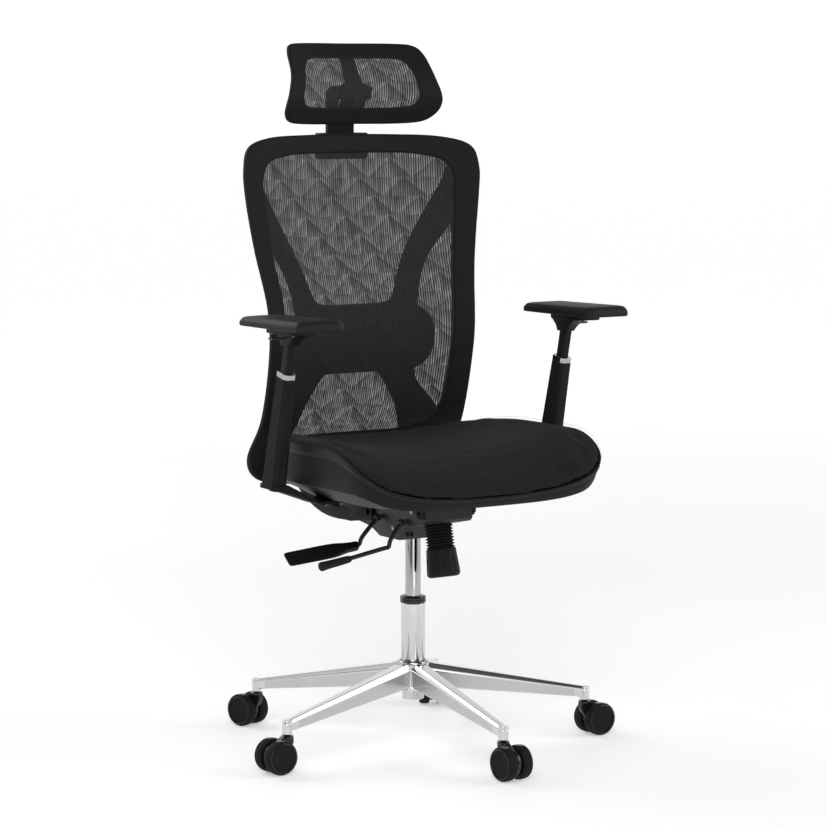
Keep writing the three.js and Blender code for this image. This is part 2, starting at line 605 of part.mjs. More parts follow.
function seatPan() {
  const { wall, floor } = PAN;
  const bowl = loft([
    seatRing(0.1, 0, () => floor),
    seatRing(0.72, 0, () => floor),
    seatRing(1, 12, panEdge),
    seatRing(1, 1, (x, y) => seatSeam(x, y) - 6),
    seatRing(1, 1, (x, y) => seatSeam(x, y) - GAP * 3),
    seatRing(1, 1 + wall, (x, y) => seatSeam(x, y) - GAP * 4 - 2),
    seatRing(1, 12 + wall, (x, y) => panEdge(x, y) + wall),
    seatRing(0.7, 0, () => floor + wall),
    seatRing(0.1, 0, () => floor + wall),
  ]);
  const inner = HOUSING.halfWidth + RUN;
  const lugOutline = [
    [SEAT_PIVOT.y - 14, floor + 1], [SEAT_PIVOT.y - 12, SEAT_PIVOT.z - 4], [SEAT_PIVOT.y - 5, SEAT_PIVOT.z - 11],
    [SEAT_PIVOT.y + 5, SEAT_PIVOT.z - 11], [SEAT_PIVOT.y + 12, SEAT_PIVOT.z - 4], [SEAT_PIVOT.y + 40, floor + 1],
  ];
  const cheekOut = inner + CHEEK + 1;
  const bore = moved(rodX(SEAT_PIVOT.radius + GAP, -cheekOut, cheekOut), 0, SEAT_PIVOT.y, SEAT_PIVOT.z);
  return cut(
    join(bowl, sidePlate(lugOutline, inner, inner + CHEEK), sidePlate(lugOutline, -inner - CHEEK, -inner)),
    bore,
  );
}

// ---------------------------------------------------------------- armrests
const armUp = vec(0, -Math.sin(rad(ARM.lean)), Math.cos(rad(ARM.lean)));

function tapered(lowSize, highSize, low, high) {
  const level = ([width, depth], z) => {
    const [x, y, c] = [width / 2, depth / 2, Math.min(width, depth) * 0.22];
    return [[x, -y + c], [x, y - c], [x - c, y], [-x + c, y], [-x, y - c], [-x, -y + c], [-x + c, -y], [x - c, -y]]
      .map(([px, py]) => vec(px, py, z));
  };
  return loft([level(lowSize, low), level(highSize, high)]);
}

function armSleeve(side) {
  const length = ARM.sleeveLength;
  const body = tapered(
    [ARM_SLEEVE.width, ARM_SLEEVE.depth], [ARM_SLEEVE.topWidth, ARM_SLEEVE.topDepth], -length, -ARM.ringHeight / 2 - GAP);
  const [w, d] = [ARM_POST.width + 2 * GAP, ARM_POST.depth + 2 * GAP];
  const hollow = tapered([w, d], [w, d], ARM.postEnd - 85, 1);
  const upright = turned(cut(body, hollow), ARM.lean, 0, 0).translate(side * ARM.x, ARM.y, ARM.ringZ);
  const foot = vec(side * ARM.x, ARM.y, ARM.ringZ).addScaledVector(armUp, -length);
  const { thick, width, inner } = BRACKET;
  const top = PAN.floor - 2;
  const outline = [
    [ARM.x + ARM_SLEEVE.width / 2 - 4, foot.z + 6], [ARM.x + ARM_SLEEVE.width / 2 - 4, foot.z - 2],
    [ARM.x - 16, foot.z - 10], [SEAT.halfWidth * 0.8, top - thick], [inner, top - thick],
    [inner, top], [SEAT.halfWidth * 0.82, top], [ARM.x - ARM_SLEEVE.width / 2 + 1, foot.z + 6],
  ].map(([x, z]) => new THREE.Vector2(side * x, z));
  const plate = new THREE.ExtrudeGeometry(new THREE.Shape(outline), { depth: width, bevelEnabled: false });
  const bracket = turned(plate, 90, 0, 0).translate(0, foot.y + width / 2, 0);
  return join(upright, bracket);
}

function armRing() {
  const [w, d] = [ARM_SLEEVE.topWidth, ARM_SLEEVE.topDepth];
  const [iw, id] = [ARM_POST.width + 2 * GAP, ARM_POST.depth + 2 * GAP];
  const half = ARM.ringHeight / 2;
  return cut(tapered([w, d], [w, d], -half, half), tapered([iw, id], [iw, id], -half - 1, half + 1));
}

function roundedPlate(width, length, height, corner, bevel) {
  const [x, y] = [width / 2 - bevel, length / 2 - bevel];
  const shape = new THREE.Shape();
  shape.moveTo(-x + corner, -y);
  shape.lineTo(x - corner, -y);
  shape.absarc(x - corner, -y + corner, corner, -Math.PI / 2, 0);
  shape.absarc(x - corner, y - corner, corner, 0, Math.PI / 2);
  shape.absarc(-x + corner, y - corner, corner, Math.PI / 2, Math.PI);
  shape.absarc(-x + corner, -y + corner, corner, Math.PI, Math.PI * 1.5);
  const depth = height - 2 * bevel;
  const options = { depth, bevelThickness: bevel, bevelSize: bevel, bevelSegments: 1, curveSegments: 4 };
  return new THREE.ExtrudeGeometry(shape, options).translate(0, 0, bevel);
}

function addArm(side, label) {
  const lean = new THREE.Group();
  lean.position.set(side * ARM.x, ARM.y, ARM.ringZ);
  lean.rotation.x = rad(ARM.lean);
  chair.add(lean);
  add(`arm_sleeve_${label}`, armSleeve(side), blackPlastic);
  add(`arm_ring_${label}`, armRing(), chrome, lean);
  const postSize = [ARM_POST.width, ARM_POST.depth];
  add(`arm_post_${label}`, tapered(postSize, postSize, ARM.postEnd, ARM.postTop), blackPlastic, lean);

  const mountTop = ARM_PAD.bottom - GAP;
  const mountLow = mountTop - PAD_MOUNT.height;
  const plate = roundedPlate(PAD_MOUNT.width, PAD_MOUNT.length, PAD_MOUNT.height, 10, 2);
  const topOfPost = vec(side * ARM.x, ARM.y, ARM.ringZ).addScaledVector(armUp, ARM.postTop);
  const neck = block(ARM_POST.width + NECK_WALL, ARM_POST.depth + 14, mountLow - 16, mountLow + 2);
  const size = [ARM_POST.width + 2 * GAP, ARM_POST.depth + 2 * GAP];
  const postSpace = turned(tapered(size, size, 0, ARM.postTop + GAP), ARM.lean, 0, 0)
    .translate(side * ARM.x, ARM.y, ARM.ringZ);
  const mount = join(
    moved(plate, side * ARM_PAD.x, ARM_PAD.y, mountLow),
    moved(neck, side * ARM.x, topOfPost.y, 0),
  );
  add(`pad_mount_${label}`, cut(mount, postSpace), blackPlastic);

  const pad = roundedPlate(ARM_PAD.width, ARM_PAD.length, ARM_PAD.height, ARM_PAD.corner, ARM_PAD.bevel);
  add(`arm_pad_${label}`, moved(pad, side * ARM_PAD.x, ARM_PAD.y, ARM_PAD.bottom), softPad);

  const triggerX = ARM.x + (ARM_POST.width + NECK_WALL) / 2 + RUN + TRIGGER.length / 2;
  const paddle = new THREE.BoxGeometry(TRIGGER.length, TRIGGER.width, TRIGGER.thick);
  const trigger = moved(paddle, side * triggerX, topOfPost.y, mountLow - TRIGGER.drop);
  add(`height_trigger_${label}`, trigger, blackPlastic);
}

// ---------------------------------------------------------------- back
// Depth of the back's side edges at each height.
const BACK_PROFILE = smooth([
  [197, 445], [192, 505], [142, 584], [112, 700], [112, 780], [138, 885], [152, 975], [157, 1042], [160, 1100],
], 60);
const BACK_HALF_WIDTH = 250;
const backFace = (x, z) => between(BACK_PROFILE, z) + BACK.wrap * (1 - (x / BACK_HALF_WIDTH) ** 2);

// Right halves of the frame's outlines, from the bottom middle to the top middle.
const FRAME_OUTSIDE = smooth([
  [0, 450], [110, 452], [190, 468], [221, 510], [218, 590], [218, 700], [222, 800], [237, 900],
  [249, 985], [251, 1035], [236, 1074], [180, 1090], [90, 1094], [0, 1095],
], 52);
const FRAME_INSIDE = smooth([
  [0, 544], [115, 546], [158, 562], [175, 602], [179, 700], [184, 800], [197, 900], [204, 985],
  [203, 1018], [186, 1046], [130, 1058], [60, 1060], [0, 1060],
], 44);

function backFrame() {
  const [outside, inside] = [FRAME_OUTSIDE, FRAME_INSIDE].map((line) => mirrored(line.slice(1, -1)));
  const ringPlate = bentPlate(outside, [inside], BACK.frame, backFace);
  // guide for the neck of the headrest, behind the top of the frame
  const [low, high] = [NECK.bottom, FRAME_OUTSIDE.at(-1)[1] + NECK.guideRise];
  const rear = NECK.y + NECK.thick / 2 + 6;
  const front = backFace(0, high) + BACK.frame - 3;
  const guide = moved(block(NECK.guideWidth, rear - front, low, high), 0, (front + rear) / 2, 0);
  const slot = moved(block(NECK.width + 2 * GAP, NECK.thick + 2 * GAP, low - 1, high + 1), 0, NECK.y, 0);
  return cut(join(ringPlate, guide), slot);
}

// Distance of the support behind the face: close at its ends, further back in the middle.
function supportStand(z) {
  const middle = (LUMBAR.bottom + LUMBAR.top) / 2;
  const share = Math.min(1, Math.abs(z - middle) / (z > middle ? 300 : 180));
  const ends = BACK.frame + SUPPORT_GAP;
  return ends + (BACK.middle - ends) * (1 - share ** 2);
}

function backSupport() {
  const upperInside = smooth([
    [0, LUMBAR.top], [60, LUMBAR.top + 1], [84, 795], [104, 845], [131, 900], [190, 1000], [200, 1030],
  ], 18);
  const outside = smooth([
    [226, 1046], [238, 1010], [216, 940], [161, 865], [138, 808], [130, 740], [130, 660], [142, 630], [170, 598], [198, 560],
  ], 24);
  const lowerInside = smooth([
    [196, 520], [150, 516], [119, 544], [98, 596], [62, 650], [40, LUMBAR.bottom], [0, LUMBAR.bottom],
  ], 14);
  const half = [...upperInside.slice(1), ...outside, ...lowerInside.slice(0, -1)];
  return bentPlate(mirrored(half), [], BACK.support, (x, z) => backFace(x, z) + supportStand(z));
}

function backMeshPanel() {
  const inset = BACK.gap;
  const low = FRAME_INSIDE[0][1] + inset;
  const high = FRAME_INSIDE.at(-1)[1] - inset;
  const rows = 18;
  const heights = Array.from({ length: rows + 1 }, (_, i) => {
    const share = (1 - Math.cos((Math.PI * i) / rows)) / 2;
    return low + 2 + (high - low - 4) * share;
  });
  const side = FRAME_INSIDE.filter(([x]) => x > 1);
  const draw = 3; // how far the rounded corners hold the sheet's ends in
  const halfWidth = (z) => between(side, z) - inset * 2 - draw * ((2 * z - low - high) / (high - low)) ** 4;
  return curvedSheet(heights, halfWidth, 10, BACK.mesh, (x, z) => backFace(x, z) + 2);
}

function lumbarPad() {
  const { halfWidth, bottom, top, corner, stand, thick } = LUMBAR;
  const steps = 5;
  const heights = [];
  for (let i = 0; i <= steps; i++) heights.push(bottom + corner * (1 - Math.cos((Math.PI * i) / (2 * steps))));
  for (let i = steps; i >= 0; i--) heights.push(top - corner * (1 - Math.cos((Math.PI * i) / (2 * steps))));
  const width = (z) => {
    const toEdge = Math.min(z - bottom, top - z);
    const short = Math.max(0, corner - toEdge) / corner;
    return halfWidth - corner * (1 - Math.sqrt(Math.max(0, 1 - short ** 2))) - 2;
  };
  return curvedSheet(heights, width, 12, thick, (x, z) => backFace(x, z) + stand);
}

function backBar() {
  const cheekIn = HOUSING.halfWidth + RUN;
  const cheekOut = cheekIn + CHEEK;
  const cheek = [
    [BACK_PIVOT.y - 14, BACK_PIVOT.z - 6], [BACK_PIVOT.y - 6, BACK_PIVOT.z - 14], [BACK_PIVOT.y + 60, BACK_PIVOT.z - 24],
    [BACK_PIVOT.y + 100, BACK_PIVOT.z - 24], [BACK_PIVOT.y + 100, BACK_PIVOT.z + 4],
    [BACK_PIVOT.y + 20, BACK_PIVOT.z + 14], [BACK_PIVOT.y - 8, BACK_PIVOT.z + 14],
  ];
  const bend = (z) => backFace(0, z) + BACK.frame + BAR_GAP;
  const spine = loft([
    crossSection(BACK_PIVOT.y + 60, 408, 0, cheekOut, 28),
    crossSection(BACK_PIVOT.y + 120, 406, 4, 60, 26),
    crossSection(bend(452) - 40, 412, 22, 60, 24),
    crossSection(bend(452) + 2, 434, 55, 68, 20),
    crossSection(bend(470) + 8, 470, 84, 86, 15),
    crossSection(bend(505) + 8, 505, 106, 96, 14),
    crossSection(bend(535) + 10, 535, 116, 96, 12),
  ]);
  const bore = moved(rodX(BACK_PIVOT.radius + GAP, -cheekOut - 1, cheekOut + 1), 0, BACK_PIVOT.y, BACK_PIVOT.z);
  return cut(join(spine, sidePlate(cheek, cheekIn, cheekOut), sidePlate(cheek, -cheekOut, -cheekIn)), bore);
}

function addBack() {
  add("back_bar", backBar(), blackPlastic);
  add("back_frame", backFrame(), blackPlastic);
  add("back_support", backSupport(), blackPlastic);
  add("back_mesh", backMeshPanel(), backMesh);
  add("lumbar_pad", lumbarPad(), blackPlastic);
}

// ---------------------------------------------------------------- headrest
// How far the headrest's face rolls back at each height, above and below its most forward line.
const HEAD_ROLL = smooth([
  [40, HEAD.bottom - 12], [31, HEAD.bottom], [16, HEAD.bottom + 21], [6, HEAD.bottom + 36], [0, HEAD.bottom + 54],
  [3, HEAD.bottom + 80], [11, HEAD.bottom + 100], [29, HEAD.top - 20], [44, HEAD.top], [52, HEAD.top + 10],
], 60);
const headFace = (x, z) => HEAD.y + between(HEAD_ROLL, z) - HEAD.wrap * (x / HEAD.halfWidth) ** 2;

const HEAD_OUTSIDE = smooth([
  [0, HEAD.bottom], [90, HEAD.bottom], [140, HEAD.bottom + 4], [160, HEAD.bottom + 18], [165, HEAD.bottom + 36],
  [162, HEAD.bottom + 56], [154, HEAD.bottom + 82], [150, HEAD.bottom + 100], [145, HEAD.top - 20],
  [132, HEAD.top - 4], [96, HEAD.top], [0, HEAD.top],
], 34);
const HEAD_INSIDE = smooth([
  [0, HEAD.bottom + 30], [70, HEAD.bottom + 30], [112, HEAD.bottom + 34], [124, HEAD.bottom + 48],
  [122, HEAD.bottom + 68], [116, HEAD.top - 52], [106, HEAD.top - 35], [84, HEAD.top - 28], [0, HEAD.top - 28],
], 30);

function headFrame() {
  const [outside, inside] = [HEAD_OUTSIDE, HEAD_INSIDE].map((line) => mirrored(line.slice(1, -1)));
  return bentPlate(outside, [inside], HEAD.thick, headFace);
}

function headMesh() {
  const low = HEAD_INSIDE[0][1] + 3;
  const high = HEAD_INSIDE.at(-1)[1] - 3;
  const heights = Array.from({ length: 8 }, (_, i) => low + ((high - low) * i) / 7);
  const side = HEAD_INSIDE.filter(([x]) => x > 1);
  const draw = 5; // as on the back
  const halfWidth = (z) => between(side, z) - 3 - draw * ((2 * z - low - high) / (high - low)) ** 2;
  return curvedSheet(heights, halfWidth, 12, HEAD.mesh, (x, z) => headFace(x, z) + 2);
}

// Cross behind the headrest's mesh, with the barrel it tilts on.
function headBracket() {
  const cross = mirrored([
    [27, HEAD.bottom + 6], [27, HEAD_PIVOT.z - 14], [36, HEAD_PIVOT.z - 12], [38, HEAD_PIVOT.z + 8],
    [18, HEAD_PIVOT.z + 16], [12, HEAD.top - 10],
  ]);
  const plate = bentPlate(cross, [], 6, (x, z) => headFace(x, z) + HEAD.thick + 2);
  const { y, z, radius } = HEAD_PIVOT;
  const [armFront, armRear] = [headFace(0, z) + HEAD.thick + 4, y + 3];
  const arm = moved(block(20, armRear - armFront, z - 8, z + 8), 0, (armFront + armRear) / 2, 0);
  const barrel = moved(rodX(radius, -14, 14, 18), 0, y, z);
  return join(plate, arm, barrel);
}

// Neck: a flat blade that slides in the guide, with a fork at its top for the barrel.
function neck() {
  const { y, z, radius } = HEAD_PIVOT;
  const blade = moved(block(NECK.width, NECK.thick, NECK.bottom, NECK.top), 0, NECK.y, 0);
  const fork = [
    [NECK.y - NECK.thick / 2, NECK.top - 20], [NECK.y + NECK.thick / 2, NECK.top - 20], [NECK.y + NECK.thick / 2, z],
    [y + 4, z + radius], [y - 6, z + radius - 1], [y - radius, z - 4],
  ];
  return join(
    blade,
    sidePlate(fork, 14 + RUN, NECK.width / 2), sidePlate(fork, -NECK.width / 2, -14 - RUN),
  );
}

function addHeadrest() {
  add("headrest_neck", neck(), blackPlastic);
  add("headrest_bracket", headBracket(), blackPlastic);
  add("headrest_frame", headFrame(), blackPlastic);
  add("headrest_mesh", headMesh(), backMesh);
}

addColumn();
addCasters();
addMechanism();
add("seat_cushion", seatCushion(), seatCloth);
add("seat_pan", seatPan(), blackPlastic);
addArm(-1, "right");
addArm(1, "left");
addBack();
addHeadrest();

export default chair;
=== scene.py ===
"""Swivel office chair: mesh back and headrest, cloth seat, lifting armrests, polished caster base."""
import math
import bpy
import bmesh
from bpy.props import FloatProperty, FloatVectorProperty, IntProperty, PointerProperty
from mathutils import Matrix, Vector


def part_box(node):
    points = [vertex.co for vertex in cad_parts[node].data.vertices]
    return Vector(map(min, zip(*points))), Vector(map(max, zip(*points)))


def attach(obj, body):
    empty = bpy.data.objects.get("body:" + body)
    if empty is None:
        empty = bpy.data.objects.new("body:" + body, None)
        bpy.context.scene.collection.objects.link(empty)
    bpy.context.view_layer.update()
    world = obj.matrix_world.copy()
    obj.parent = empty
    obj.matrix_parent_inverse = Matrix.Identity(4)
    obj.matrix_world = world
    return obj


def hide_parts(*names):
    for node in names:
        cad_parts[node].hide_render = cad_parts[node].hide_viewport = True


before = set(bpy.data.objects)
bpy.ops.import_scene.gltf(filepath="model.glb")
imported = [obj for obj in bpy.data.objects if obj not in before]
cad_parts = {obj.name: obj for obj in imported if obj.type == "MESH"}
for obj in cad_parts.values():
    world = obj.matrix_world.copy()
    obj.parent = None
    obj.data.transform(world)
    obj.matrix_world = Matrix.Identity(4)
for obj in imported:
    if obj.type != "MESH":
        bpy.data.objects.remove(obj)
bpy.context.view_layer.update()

bl_info = {
    "name": "Swivel Office Chair",
    "version": (1, 0, 0),
    "blender": (4, 5, 0),
    "location": "View3D > Sidebar > Office Chair",
    "description": "Dresses the frame of a swivel office chair with finished pieces",
    "category": "Object",
}

MM = 0.001
TUBE_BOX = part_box("gas_tube")
AXIS = (TUBE_BOX[0] + TUBE_BOX[1]) / 2  # the column's axis; x and y below start from it

# Sizes in millimetres, from the column's axis and the floor, as the frame has them.
HUB_RADIUS, HUB_LOW, HUB_TOP, FOOT_RADIUS, FOOT_LOW = 29, 99, 152, 20, 81
STEM_CIRCLE, LEG_COUNT, FIRST_LEG = 320, 5, -76
CASTER_TURNS = (-88, 3, 90, 150, -163)
CASTER_TRAIL, WHEEL_RADIUS, WHEEL_INNER, WHEEL_OUTER = 23, 30, 6.5, 26.5
KNOB_Y, KNOB_Z, KNOB_TILT = -82, 409, 12
LEVER_X, LEVER_Z, LIFT_Y, LOCK_Y = -58, 413, 27, -52  # the levers' hubs beside the housing
ARM_X, ARM_Y, ARM_Z, ARM_LEAN = 292, -50, 688, 13
PAD_X, PAD_Y, PAD_LOW, PAD_WIDTH, PAD_LENGTH = 300, -79, 771, 94, 212
SEAT_HALF, SEAT_FRONT, SEAT_REAR, SEAT_TOP = 262, -258, 198, 545
SQUARE_FRONT, SQUARE_REAR = 8, 2.8  # how squarely the seat's outline turns its corners
PAN_FLOOR, PAN_SIDE, PAN_LIP = 462, 493, 460
# Swelling of a padded piece: pressure, frames, and how far the cloth may move, in metres.
CLOTH_PRESSURE, CLOTH_FRAMES, CLOTH_REACH = 4, 20, 0.0055
BACK_WRAP, BACK_HALF = 55, 250
HEAD_Y, HEAD_WRAP, HEAD_HALF = 181, 34, 165
NECK_Y, GUIDE_LOW, GUIDE_TOP, GUIDE_WIDTH = 248, 1049, 1097, 100


# ------------------------------------------------------------------ sizes and colours a user sets
class ChairFinish(bpy.types.PropertyGroup):
    """Colours of the chair's finishes"""
    cloth: FloatVectorProperty(
        name="Seat cloth", description="Colour of the seat's woven cloth", subtype="COLOR",
        default=(0.009, 0.009, 0.0095), min=0, max=1)
    webbing: FloatVectorProperty(
        name="Back mesh", description="Colour of the mesh of the back and of the headrest", subtype="COLOR",
        default=(0.016, 0.016, 0.0155), min=0, max=1)
    plastic: FloatVectorProperty(
        name="Plastic", description="Colour of the moulded plastic", subtype="COLOR",
        default=(0.007, 0.007, 0.0068), min=0, max=1)
    paint: FloatVectorProperty(
        name="Painted steel", description="Colour of the powder coat on the mechanism", subtype="COLOR",
        default=(0.011, 0.011, 0.0115), min=0, max=1)
    metal: FloatVectorProperty(
        name="Polished metal", description="Colour of the polished base and column", subtype="COLOR",
        default=(0.63, 0.635, 0.64), min=0, max=1)


class ChairSizes(bpy.types.PropertyGroup):
    """Sizes of the chair's finished details"""
    cord: FloatProperty(
        name="Edge cord", description="Radius of the cord where the seat cloth meets the pan",
        default=0.0017, unit="LENGTH")
    stitch: FloatProperty(
        name="Stitch pitch", description="Distance from one stitch to the next", default=0.0055,
        unit="LENGTH")
    screw: FloatProperty(
        name="Screw head", description="Radius of the screws' heads", default=0.0042, unit="LENGTH")
    thread_pitch: FloatProperty(
        name="Mesh pitch", description="Distance between the upright threads of the mesh",
        default=0.0045, unit="LENGTH")
    weave_pitch: FloatProperty(
        name="Weave pitch", description="Distance between the yarns of the seat cloth",
        default=0.0016, unit="LENGTH")
    boot_ribs: IntProperty(name="Bellows ribs", description="Ribs on the tension spring's boot", default=8,
                           min=3)
    knob_grips: IntProperty(name="Knob grips", description="Finger dimples round the tension knob",
                            default=9, min=3)


# ------------------------------------------------------------------ node graphs
class Wire:
    """A node's output, or a sum on one: each operator adds the Math node it stands for."""

    def __init__(self, graph, socket):
        self.graph, self.socket = graph, socket

    def sum(self, operation, *terms):
        return self.graph.add("ShaderNodeMath", {"operation": operation}, dict(enumerate(terms)))

    def __add__(self, other):
        return self.sum("ADD", self, other)

    def __sub__(self, other):
        return self.sum("SUBTRACT", self, other)

    def __rsub__(self, other):
        return self.sum("SUBTRACT", other, self)

    def __mul__(self, other):
        return self.sum("MULTIPLY", self, other)

    def __truediv__(self, other):
        return self.sum("DIVIDE", self, other)

    def __gt__(self, other):
        return self.sum("GREATER_THAN", self, other)

    def __abs__(self):
        return self.sum("ABSOLUTE", self)

    def wave(self):
        return self.sum("SINE", self)

    def within(self):
        return self.sum("FRACT", self)

    def step_down(self):
        return self.sum("FLOOR", self)

    __radd__ = __add__
    __rmul__ = __mul__


class Graph:
    """Adds nodes to a tree, from their type, their settings and what their sockets take."""

    def __init__(self, tree):
        self.tree = tree

    def add(self, kind, settings=None, sockets=None, out=0):
        node = self.tree.nodes.new(kind)
        for name, value in (settings or {}).items():
            if name == "stops":
                for stop, (place, shade) in zip(node.color_ramp.elements, value):
                    stop.position, stop.color = place, (shade, shade, shade, 1)
            else:
                setattr(node, name, value)
        for name, value in (sockets or {}).items():
            self.feed(node.inputs[name], value)
        self.last = node
        return Wire(self, node.outputs[out])

    def feed(self, socket, value):
        if isinstance(value, Wire):
            self.tree.links.new(value.socket, socket)
        else:
            socket.default_value = value


def rgba(colour, gain=1.0):
    return (colour[0] * gain, colour[1] * gain, colour[2] * gain, 1)


class Finish(Graph):
    """A material: one Principled shader whose unvarying values are set on it directly."""

    def __init__(self, name, **constants):
        self.material = bpy.data.materials.new(name)
        self.material.use_nodes = True
        super().__init__(self.material.node_tree)
        self.shader = self.tree.nodes["Principled BSDF"]
        for socket, value in constants.items():
            self.shader.inputs[socket.replace("_", " ")].default_value = value

    def place(self):
        return self.add("ShaderNodeTexCoord", out="Object")

    def axes(self, vector):
        parts = self.add("ShaderNodeSeparateXYZ", sockets={"Vector": vector})
        node = parts.socket.node
        return [Wire(self, node.outputs[i]) for i in range(3)]

    def cloud(self, vector, per_metre, detail=2.0):
        return self.add("ShaderNodeTexNoise",
                        sockets={"Vector": vector, "Scale": per_metre, "Detail": detail})

    def blend(self, share, first, second):
        return self.add(
            "ShaderNodeMix", {"data_type": "RGBA"}, {"Factor": share, "A": first, "B": second},
            out="Result")

    def colour(self, wire):
        self.feed(self.shader.inputs["Base Color"], wire)

    def roughness(self, wire):
        self.feed(self.shader.inputs["Roughness"], wire)

    def relief(self, height, depth, strength=1.0):
        bump = self.add("ShaderNodeBump", None, {"Height": height, "Distance": depth, "Strength": strength})
        self.feed(self.shader.inputs["Normal"], bump)


def moulded(name, colour, rough, grain=0.0011, depth=0.00006, level=0.12):
    """Moulded plastic: a fine spark-eroded grain, cloudy gloss and faint tone changes."""
    made = Finish(name, Specular_IOR_Level=level)
    place = made.place()
    cloud = made.cloud(place, 14, 3)
    made.colour(made.blend(cloud, rgba(colour, 0.82), rgba(colour, 1.22)))
    made.roughness(cloud * 0.14 + (rough - 0.07))
    grit = made.add("ShaderNodeTexVoronoi", None, {"Vector": place, "Scale": 1 / grain})
    made.relief(grit + made.cloud(place, 0.6 / grain) * 0.5, depth)
    return made.material


def painted(name, colour):
    """Powder coat: fine orange peel over steel."""
    made = Finish(name, Specular_IOR_Level=0.25, Coat_Weight=0.06, Coat_Roughness=0.25)
    place = made.place()
    peel = made.cloud(place, 420, 2)
    tone = made.cloud(place, 18, 3)
    made.colour(made.blend(tone, rgba(colour, 0.8), rgba(colour, 1.3)))
    made.roughness(tone * 0.12 + 0.36)
    made.relief(peel, 0.00012)
    return made.material


def polished(name, colour, rough, swirl=260, depth=0.00001):
    """Buffed metal: mirror finish with faint cloudy wear and hairline buffing marks."""
    made = Finish(name, Metallic=1.0)
    place = made.place()
    cloud = made.cloud(place, 22, 4)
    stretched = made.add("ShaderNodeMapping", None, {"Vector": place, "Scale": (1, 1, 9)})
    hairs = made.cloud(stretched, swirl, 3)
    made.colour(made.blend(cloud, rgba(colour, 0.93), rgba(colour, 1.03)))
    made.roughness(cloud * 0.05 + hairs * 0.03 + rough)
    made.relief(hairs, depth, 0.6)
    return made.material


def rubber(name, colour):
    """Matt rubber with a dusty bloom."""
    made = Finish(name, Specular_IOR_Level=0.16)
    place = made.place()
    bloom = made.cloud(place, 60, 4)
    made.colour(made.blend(bloom, rgba(colour, 0.8), rgba(colour, 1.5)))
    made.roughness(bloom * 0.15 + 0.62)
    made.relief(made.cloud(place, 900), 0.00005)
    return made.material


def soft_skin(name, colour):
    """Skinned foam of the arm pads: a soft pebbled grain."""
    made = Finish(name, Specular_IOR_Level=0.15, Sheen_Weight=0.01)
    place = made.place()
    pebbles = made.add("ShaderNodeTexVoronoi", {"feature": "SMOOTH_F1"}, {"Vector": place, "Scale": 620.0})
    tone = made.cloud(place, 16, 3)
    made.colour(made.blend(tone, rgba(colour, 0.85), rgba(colour, 1.3)))
    made.roughness(tone * 0.14 + 0.46)
    made.relief(pebbles, 0.00012)
    return made.material


def woven(name, colour, pitch):
    """Plain woven cloth: over and under yarns, fuzz and slow tone changes."""
    made = Finish(name, Specular_IOR_Level=0.1, Sheen_Weight=0.03, Sheen_Roughness=0.5)
    place = made.place()
    x, y, z = made.axes(place)
    warp = (x * (math.tau / 2 / pitch)).wave()
    weft = ((y + z) * (math.tau / 2 / pitch)).wave()
    yarns = abs(warp) + abs(weft) + warp * weft * 0.6
    slub = made.cloud(place, 260, 3)
    tone = made.cloud(place, 7, 4)
    made.colour(made.blend(yarns * 0.32 + slub * 0.25 + tone * 0.25, rgba(colour, 0.55), rgba(colour, 1.6)))
    made.roughness(slub * 0.15 + 0.8)
    made.relief(yarns * 0.7 + slub * 0.6, 0.0004, 0.9)
    return made.material


def open_mesh(name, colour, pitch):
    """Stretched knit: upright slots between threads, more open in every second triangle of each row."""
    row, base = 0.035, 0.09
    made = Finish(name, Specular_IOR_Level=0.12)
    place = made.place()
    x, _, z = made.axes(place)
    up = (z / row).within()
    across = (x / base + (z / row).step_down() * 0.31).within()
    # Each triangle opens from one edge to the other.
    facet = (abs(across * 2 - 1) - up).within() * 0.55 + across * 0.45
    wobble = made.cloud(place, 90, 2)
    slots = abs((x * (math.tau / 2 / pitch) + wobble * 1.6).wave())
    streak = made.cloud(made.add("ShaderNodeMapping", None, {"Vector": place, "Scale": (1, 1, 0.05)}), 230,
                        2)
    knots = abs((z * (math.tau / 2 / (pitch * 0.36))).wave())
    gap = made.add("ShaderNodeMath", {"operation": "MULTIPLY", "use_clamp": True},
                   {0: slots - 0.42, 1: 1.7})
    loose = made.add("ShaderNodeMath", {"operation": "MULTIPLY", "use_clamp": True},
                     {0: streak - 0.1, 1: 1.7})
    hole = gap * loose * (facet * 0.34 + 0.08)
    made.feed(made.shader.inputs["Alpha"], 1 - hole)
    made.colour(made.blend(streak * 0.6 + slots * 0.4, rgba(colour, 0.6), rgba(colour, 1.5)))
    made.roughness(streak * 0.2 + 0.65)
    made.relief(slots + knots * 0.4, 0.0003, 0.7)
    made.material.surface_render_method = "DITHERED"
    return made.material


FINISHES = {}


